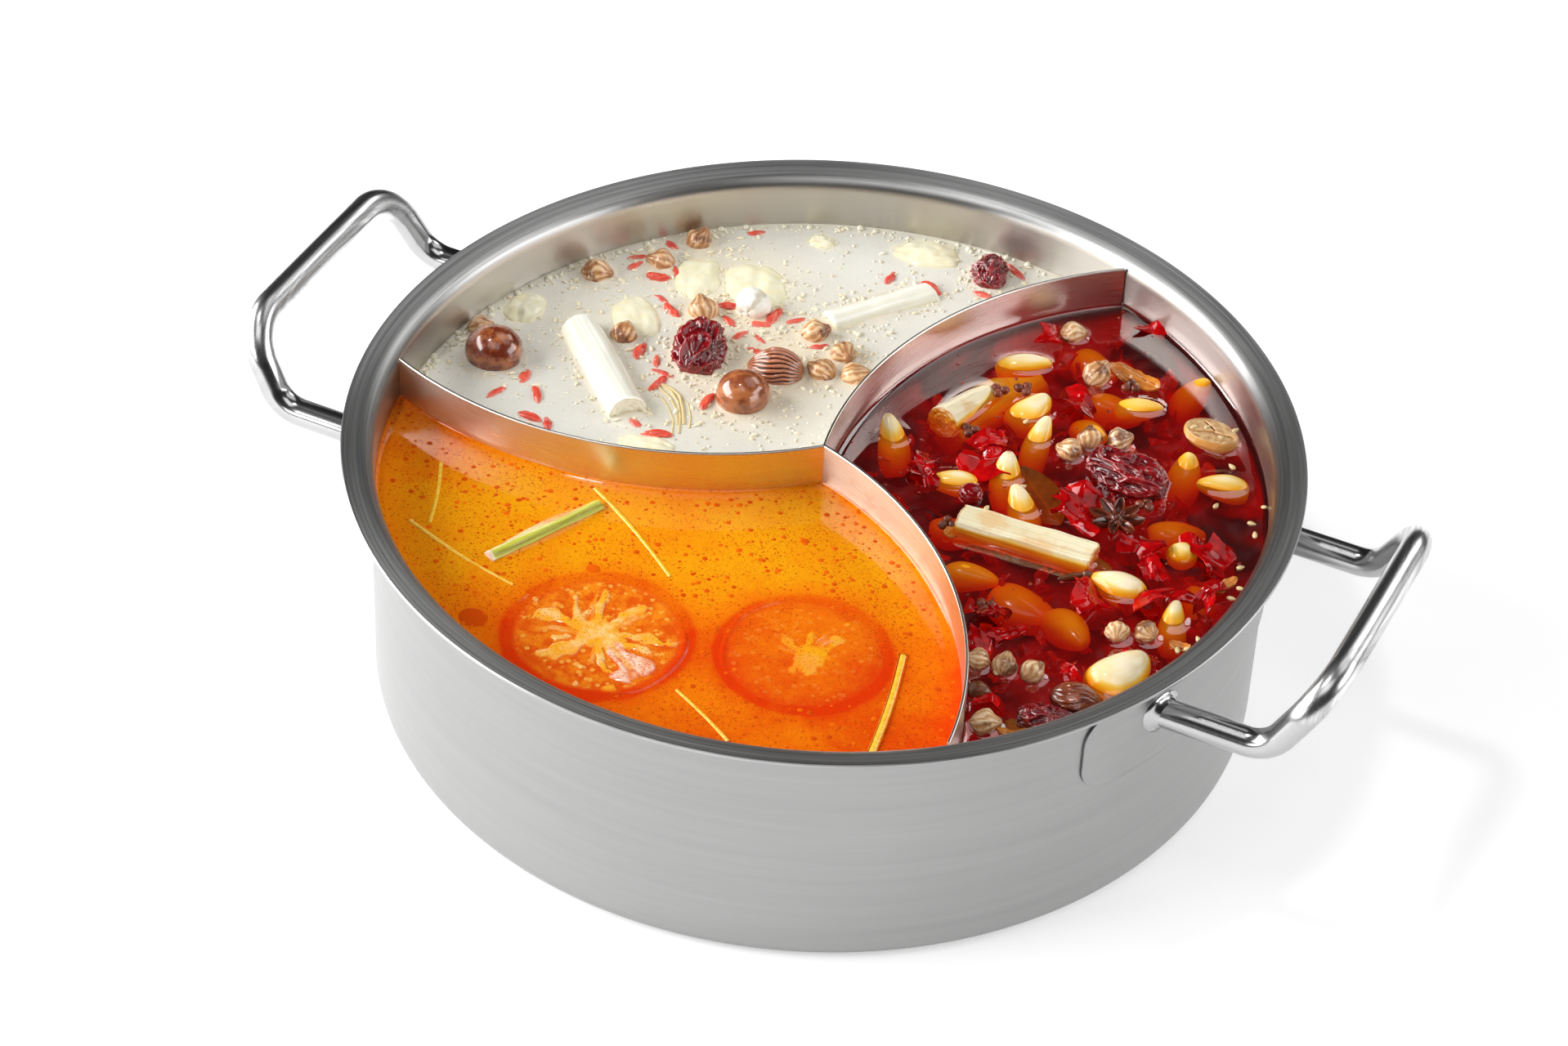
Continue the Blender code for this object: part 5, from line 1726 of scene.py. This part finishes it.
lemongrass = {  # from, to, width and bow of each strip
    "strips": [
        ((-65.5, -38.9), (-22.7, -67.1), 1.5, 1.0), ((-110.9, -82.9), (-65.5, -95.1), 1.3, -1.2),
        ((-116.8, -51.9), (-104.7, -80.9), 1.4, 0.8), ((4.2, -115.2), (29.3, -128.9), 1.3, 0.5),
        ((60.3, -65.7), (71.0, -112.4), 2.8, 0.8),
    ],
    "thickness": 1.1,
}


def makeLemongrass(level):
    nodes = newMaterial("lemongrassStraw")
    fibre = nodes.noise(700.0, 3.0)
    colour = nodes.mix(fibre.between(0.35, 0.65), (244, 186, 38), (252, 208, 74))
    straw = principled(nodes, Base_Color=colour, Roughness=0.25, Coat_Weight=0.3, Coat_Roughness=0.1,
                       Normal=nodes.bump(fibre, 0.12, 0.15))
    for k, (start, end, width, bow) in enumerate(lemongrass["strips"]):
        start, way = np.array(start), np.array(end) - np.array(start)
        across = np.array([-way[1], way[0]]) / np.linalg.norm(way)
        points = [
            (*((start + way * s + across * bow * math.sin(s * math.pi)) * mm),
             (level - 0.2 + 0.12 * math.sin(5 * s + k)) * mm)
            for s in np.linspace(0, 1, 14)
        ]
        addSheet(f"lemongrass{k + 1}", points, width, lemongrass["thickness"], straw, sharp=50)


oilPools = [(-69, -115.7, 10), (-46.6, -75.8, 5), (-78, -92, 3), (30, -60, 3.4), (8, -30, 3.2)]  # and size


def makeOilDrops(level):
    nodes = newMaterial("oilDrops")
    shade = nodes.mix(nodes.attribute("mark"), (206, 74, 6), (232, 104, 8))
    oil = principled(nodes, Base_Color=shade, Roughness=0.5, IOR=1.1)
    drop = unitShape(kernelForm(6, 14), (1, 1, 0.14))
    cover("oilDrops", tomatoSurface, tomatoValues["open"], drop, oil, "tomato_broth")
    places = [flatPose(x, y, level - 0.05, (size, size * 0.92, 0.5)) for x, y, size in oilPools]
    scatter("oilPools", unitShape(kernelForm(10, 40)), places, oil, "tomato_broth")


# middle, length and turn of the chilli skins at the surface of the oil
chilliSkins = [
    (36, 112, 9, 20), (58, 80, 14, -20), (41, 47, 13, 60), (45, 42, 10, -50), (44, 32, 13, 30),
    (26, 24, 9, 80), (29, 18, 9, -30), (79, 33, 12, 35), (83, 24, 15, -12), (131, 25, 14, -40),
    (108, 18, 12, 70), (115, 10, 12, -25), (102, -12, 13, -50), (118, -5, 14, 10), (128, 0, 10, 30),
    (137, 7, 12, 80), (65, 132, 9, 10), (85, -42, 10, 65), (80, -52, 11, -30), (122, 28, 8, 10),
    (92, 60, 8, 40), (78, -34, 9, 85), (128, -32, 9, 20), (112, -50, 8, -60), (94, -76, 9, 30),
]


def makeChillies(level, random):
    skin = skinMaterial("chilliSkin", (112, 2, 5), (210, 12, 14), soak=True, roughness=0.08, relief=0.1,
                        ior=1.28, coat=0.22)
    items = []
    for k, (x, y, length, turn) in enumerate(chilliSkins):
        length = length * 1.4
        size = (length, length * random.uniform(0.55, 0.85), length * random.uniform(0.30, 0.46))
        z = level + random.uniform(-0.2, 1.3)
        pose = flatPose(x, y, z, size, turn, random.uniform(-18, 18), random.uniform(-18, 18))
        items.append((shardForm(k % 9 + 1), pose, random.uniform(0, 1)))
    addGroup("chilliSkins", skin, items, sharp=65)
    x, y, z = redBed
    deep = skinMaterial("deepChilli", (148, 8, 12), (226, 40, 18), soak=True, roughness=0.4)
    share = 0.9 * (redBedClear > 8.0)  # clear of the walls
    for k in range(3):
        shape = unitShape(shardForm(20 + k), (1, 0.7, 0.4))
        cover("deepChillies", (x, y, z + 1.0), share, shape, deep, "jujube", number=k + 1, sharp=65)


sunkCloves = [  # middle, depth, length, width, turn and tilt
    (67, 72, 4.5, 18, 11, -40, 25), (89, 110, 6.0, 18, 12, 60, 50), (104, 66, 6.0, 20, 13, 80, 55),
    (62, -16, 4.2, 19, 11, 12, 8), (83, -19, 9.5, 26, 17, -10, 0), (100.5, -23, 6.4, 21, 14, -30, 14),
    (113, 39, 8.0, 20, 14, 30, 0), (68, 92, 8.0, 20, 14, 15, 0), (53, 110, 7.5, 18, 13, -20, 0),
    (78, 70, 8.5, 17, 12, 80, 0), (46, 8, 10.0, 18, 12, 20, 0), (132, 10, 9.0, 18, 12, -70, 0),
]
sunkStalk = {"size": (46, 17, 13), "depth": 7.4, "end": 26.0, "aside": 1.5, "turn": -6, "tilt": -3}


def makeSunkPieces(level):  # garlic cloves, and a stalk below the far one
    forms = [cloveForm(seed) for seed in (5, 6, 7, 8)]
    items = [
        (forms[k % 4], flatPose(x, y, level - depth, (length, width, width * 0.85), turn, tilt), 0.5)
        for k, (x, y, depth, length, width, turn, tilt) in enumerate(sunkCloves)
    ]
    items.append((nutForm(5), flatPose(120, 24, level - 1.6, (10, 10, 9), 40), 0.5))
    addGroup("sunkCloves", garlicMaterial("sunkGarlic"), items, sharp=180)
    far, form = poses["scallion_red_far"], sunkStalk
    along = far.axes[0] * np.sign(far.axes[0][1])
    x, y, _ = far.middle + along * (form["end"] - far.half[0])
    turn = math.degrees(math.atan2(along[1], along[0])) + form["turn"]
    pose = flatPose(x + form["aside"], y, level - form["depth"], form["size"], turn, form["tilt"])
    material = stalkMaterial("stalkUnderOil", soak=True)
    addGroup("sunkStalk", material, [(stalkForm(7), pose, 0.5)], sharp=60)


sesame = {
    "size": 3.2, "light": (252, 224, 164),
    "places": [
        (135, 49), (138, 44), (136, 59), (143, 43), (140, 26), (144, 16), (143, 10), (141, -14),
        (142, -17), (140, -20), (137, -22), (100, 84), (104, 86), (110, 83), (118, 74), (113, 89),
        (99, 47), (54, 14), (90, -60), (117, -69), (60, 30), (47, 63), (129, -36), (121, 52),
    ],
}


def makeSesame(level, random):
    places = []
    for x, y in sesame["places"]:
        onFace = (x - 106) ** 2 + (y - 85) ** 2 < 110  # on the half clove's cut face
        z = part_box("garlic_half")[1].z / mm if onFace else level + 0.25
        turns = random.uniform(0, 180), random.uniform(-9, 9)
        places.append(flatPose(x, y, z, [sesame["size"]] * 3, *turns))
    material = grainMaterial("sesame", darker(sesame["light"], 0.6), sesame["light"])
    shape = unitShape(kernelForm(8, 12, pointed=True), (1, 0.55, 0.4))
    scatter("sesameOnOil", shape, places, material, "garlic")


peppercorns = [(32, 49), (39, 79), (32, 74), (71, 98), (74, -32), (52, 36), (46, 0), (100, 41)]
starAnise = {"x": 94.2, "y": 29.5, "arms": 8, "reach": 4.8, "turn": 12, "arm": (4.0, 3.6), "tilt": 9}


def makePeppercorns(level, random):  # in threes
    items = []
    for middleX, middleY in peppercorns:
        for k in range(3):
            angle = 2.1 * k + middleX
            x, y = middleX + 1.9 * math.cos(angle), middleY + 1.9 * math.sin(angle)
            pose = flatPose(x, y, level + 0.4, (3.6, 3.3, 3.2), angle * 57, 10)
            items.append((nutForm(7 + k, ribs=6, rows=12, around=24), pose, random.uniform(0, 1)))
    husk = skinMaterial("pepperHusk", (66, 24, 14), (142, 62, 34), roughness=0.35)
    addGroup("peppercorns", husk, items)


def makeStarAnise(level, random):
    form, arm, items = starAnise, armForm(), []
    for k in range(form["arms"]):
        turn = 360 / form["arms"] * k + form["turn"]
        reach = form["reach"] * (1 + 0.12 * math.sin(3.1 * k))
        x = form["x"] + reach * math.cos(math.radians(turn))
        y = form["y"] + reach * math.sin(math.radians(turn))
        pose = flatPose(x, y, level + 0.2, (reach * 2.1, *form["arm"]), turn, form["tilt"])
        items.append((arm, pose, random.uniform(0, 1)))
    items.append((nutForm(3), flatPose(form["x"], form["y"], level + 0.6, (4, 4, 3.4)), 0.2))
    star = skinMaterial("starAnise", (54, 18, 10), (128, 54, 28), roughness=0.2, scale=500.0)
    addGroup("starAnise", star, items)


# form, x, y and height over the oil, size, then turn, tilt and lean, and the tone's mark
leaves = [
    (leafForm(), (66, 31, -2.6), (30, 15, 3.0), (-38, -7, 16), 0.4),
    (leafForm(0.6), (96, 8, -1.2), (14, 5, 2), (-20, -4), 0.8),
]
driedSlices = [
    (driedSliceForm(1), (70.5, 103, 0.7), (21, 8, 3.0), (-14, 0, 8), 0.6),
    (driedSliceForm(2), (107, -80, 0.2), (15, 10, 3.2), (40, 4, -8), 1.0),
    (driedSliceForm(3), (139, 15, 0.4), (10, 4, 2.4), (70, 0, 20), 1.0),
    (driedSliceForm(4), (49, -3, 0.6), (8, 5, 2.4), (80, 0, 10), 1.0),
    (driedSliceForm(5), (137, -20, 0.2), (7, 4, 2.0), (10, 0, 10), 0.8),
]
cloveSpice = [
    (nutForm(4, ribs=8, rows=20, around=32), (93, -5, 0.5), (10, 2.4, 2.2), (40, 4), 0.5),
    (nutForm(5, ribs=6, rows=12, around=24), (97, -2, 0.7), (3.6, 3.2, 3.0), (40,), 0.6),
    (nutForm(6, ribs=7, rows=24, around=32), (89, -71, 0.8), (8, 6.5, 5.5), (10,), 0.9),
]
redBead = [(nutForm(8), (46.3, 17.7, 1.0), (8, 7.6, 6), (), 0.5)]
palePod = [(podForm(9), (-142, 21, 1.6), (9.5, 9, 8.5), (30, 10), 1.0)]


def placed(pieces, level):
    return [
        (form, flatPose(x, y, level + height, size, *turns), mark)
        for form, (x, y, height), size, turns, mark in pieces
    ]


def makeSpices(level):
    leaf = skinMaterial("bayLeaf", (120, 62, 20), (196, 120, 46), soak=True, roughness=0.3, scale=120)
    addGroup("bayLeaf", leaf, placed(leaves, level), sharp=40)
    peel = skinMaterial("driedSlice", (150, 62, 18), (236, 152, 62), roughness=0.22, scale=240)
    addGroup("driedSlices", peel, placed(driedSlices, level), sharp=60)
    stick = skinMaterial("cloveSpice", (58, 26, 14), (120, 66, 34), roughness=0.35)
    addGroup("cloveSpice", stick, placed(cloveSpice, level))
    bead = skinMaterial("redBead", (104, 6, 14), (150, 16, 22), roughness=0.08)
    addGroup("redBead", bead, placed(redBead, level))
    flecks = grainMaterial("chilliFlecks", (88, 14, 12), (190, 52, 20), 0.2)
    shape = unitShape(kernelForm(5, 7), (1, 0.8, 0.3))
    cover("chilliFlecks", redSurface, redValues["open"] * 0.7, shape, flecks, "jujube")


milk = levels["milky"]
makeWolfberries(milk)
makeGrains(milkySurface, milkyValues)
makeGarlicSlices(milk)
makeFroth(milkySurface, milkyValues["wall"])
addGroup("palePod", podMaterial("palePodSkin"), placed(palePod, milk))
makeRootHairs(milk)
print("wolfberries, grains, beads, garlic slices and root hairs are in the milky broth")
makeLemongrass(levels["tomato"])
makeOilDrops(levels["tomato"])
print("lemongrass and oil drops are on the tomato broth")
oil, random = levels["red"], np.random.default_rng(23)
makeChillies(oil, random)
makeSunkPieces(oil)
makeSesame(oil, random)
makePeppercorns(oil, random)
makeStarAnise(oil, random)
makeSpices(oil)
print("chillies, cloves, sesame and spices are in the red broth")
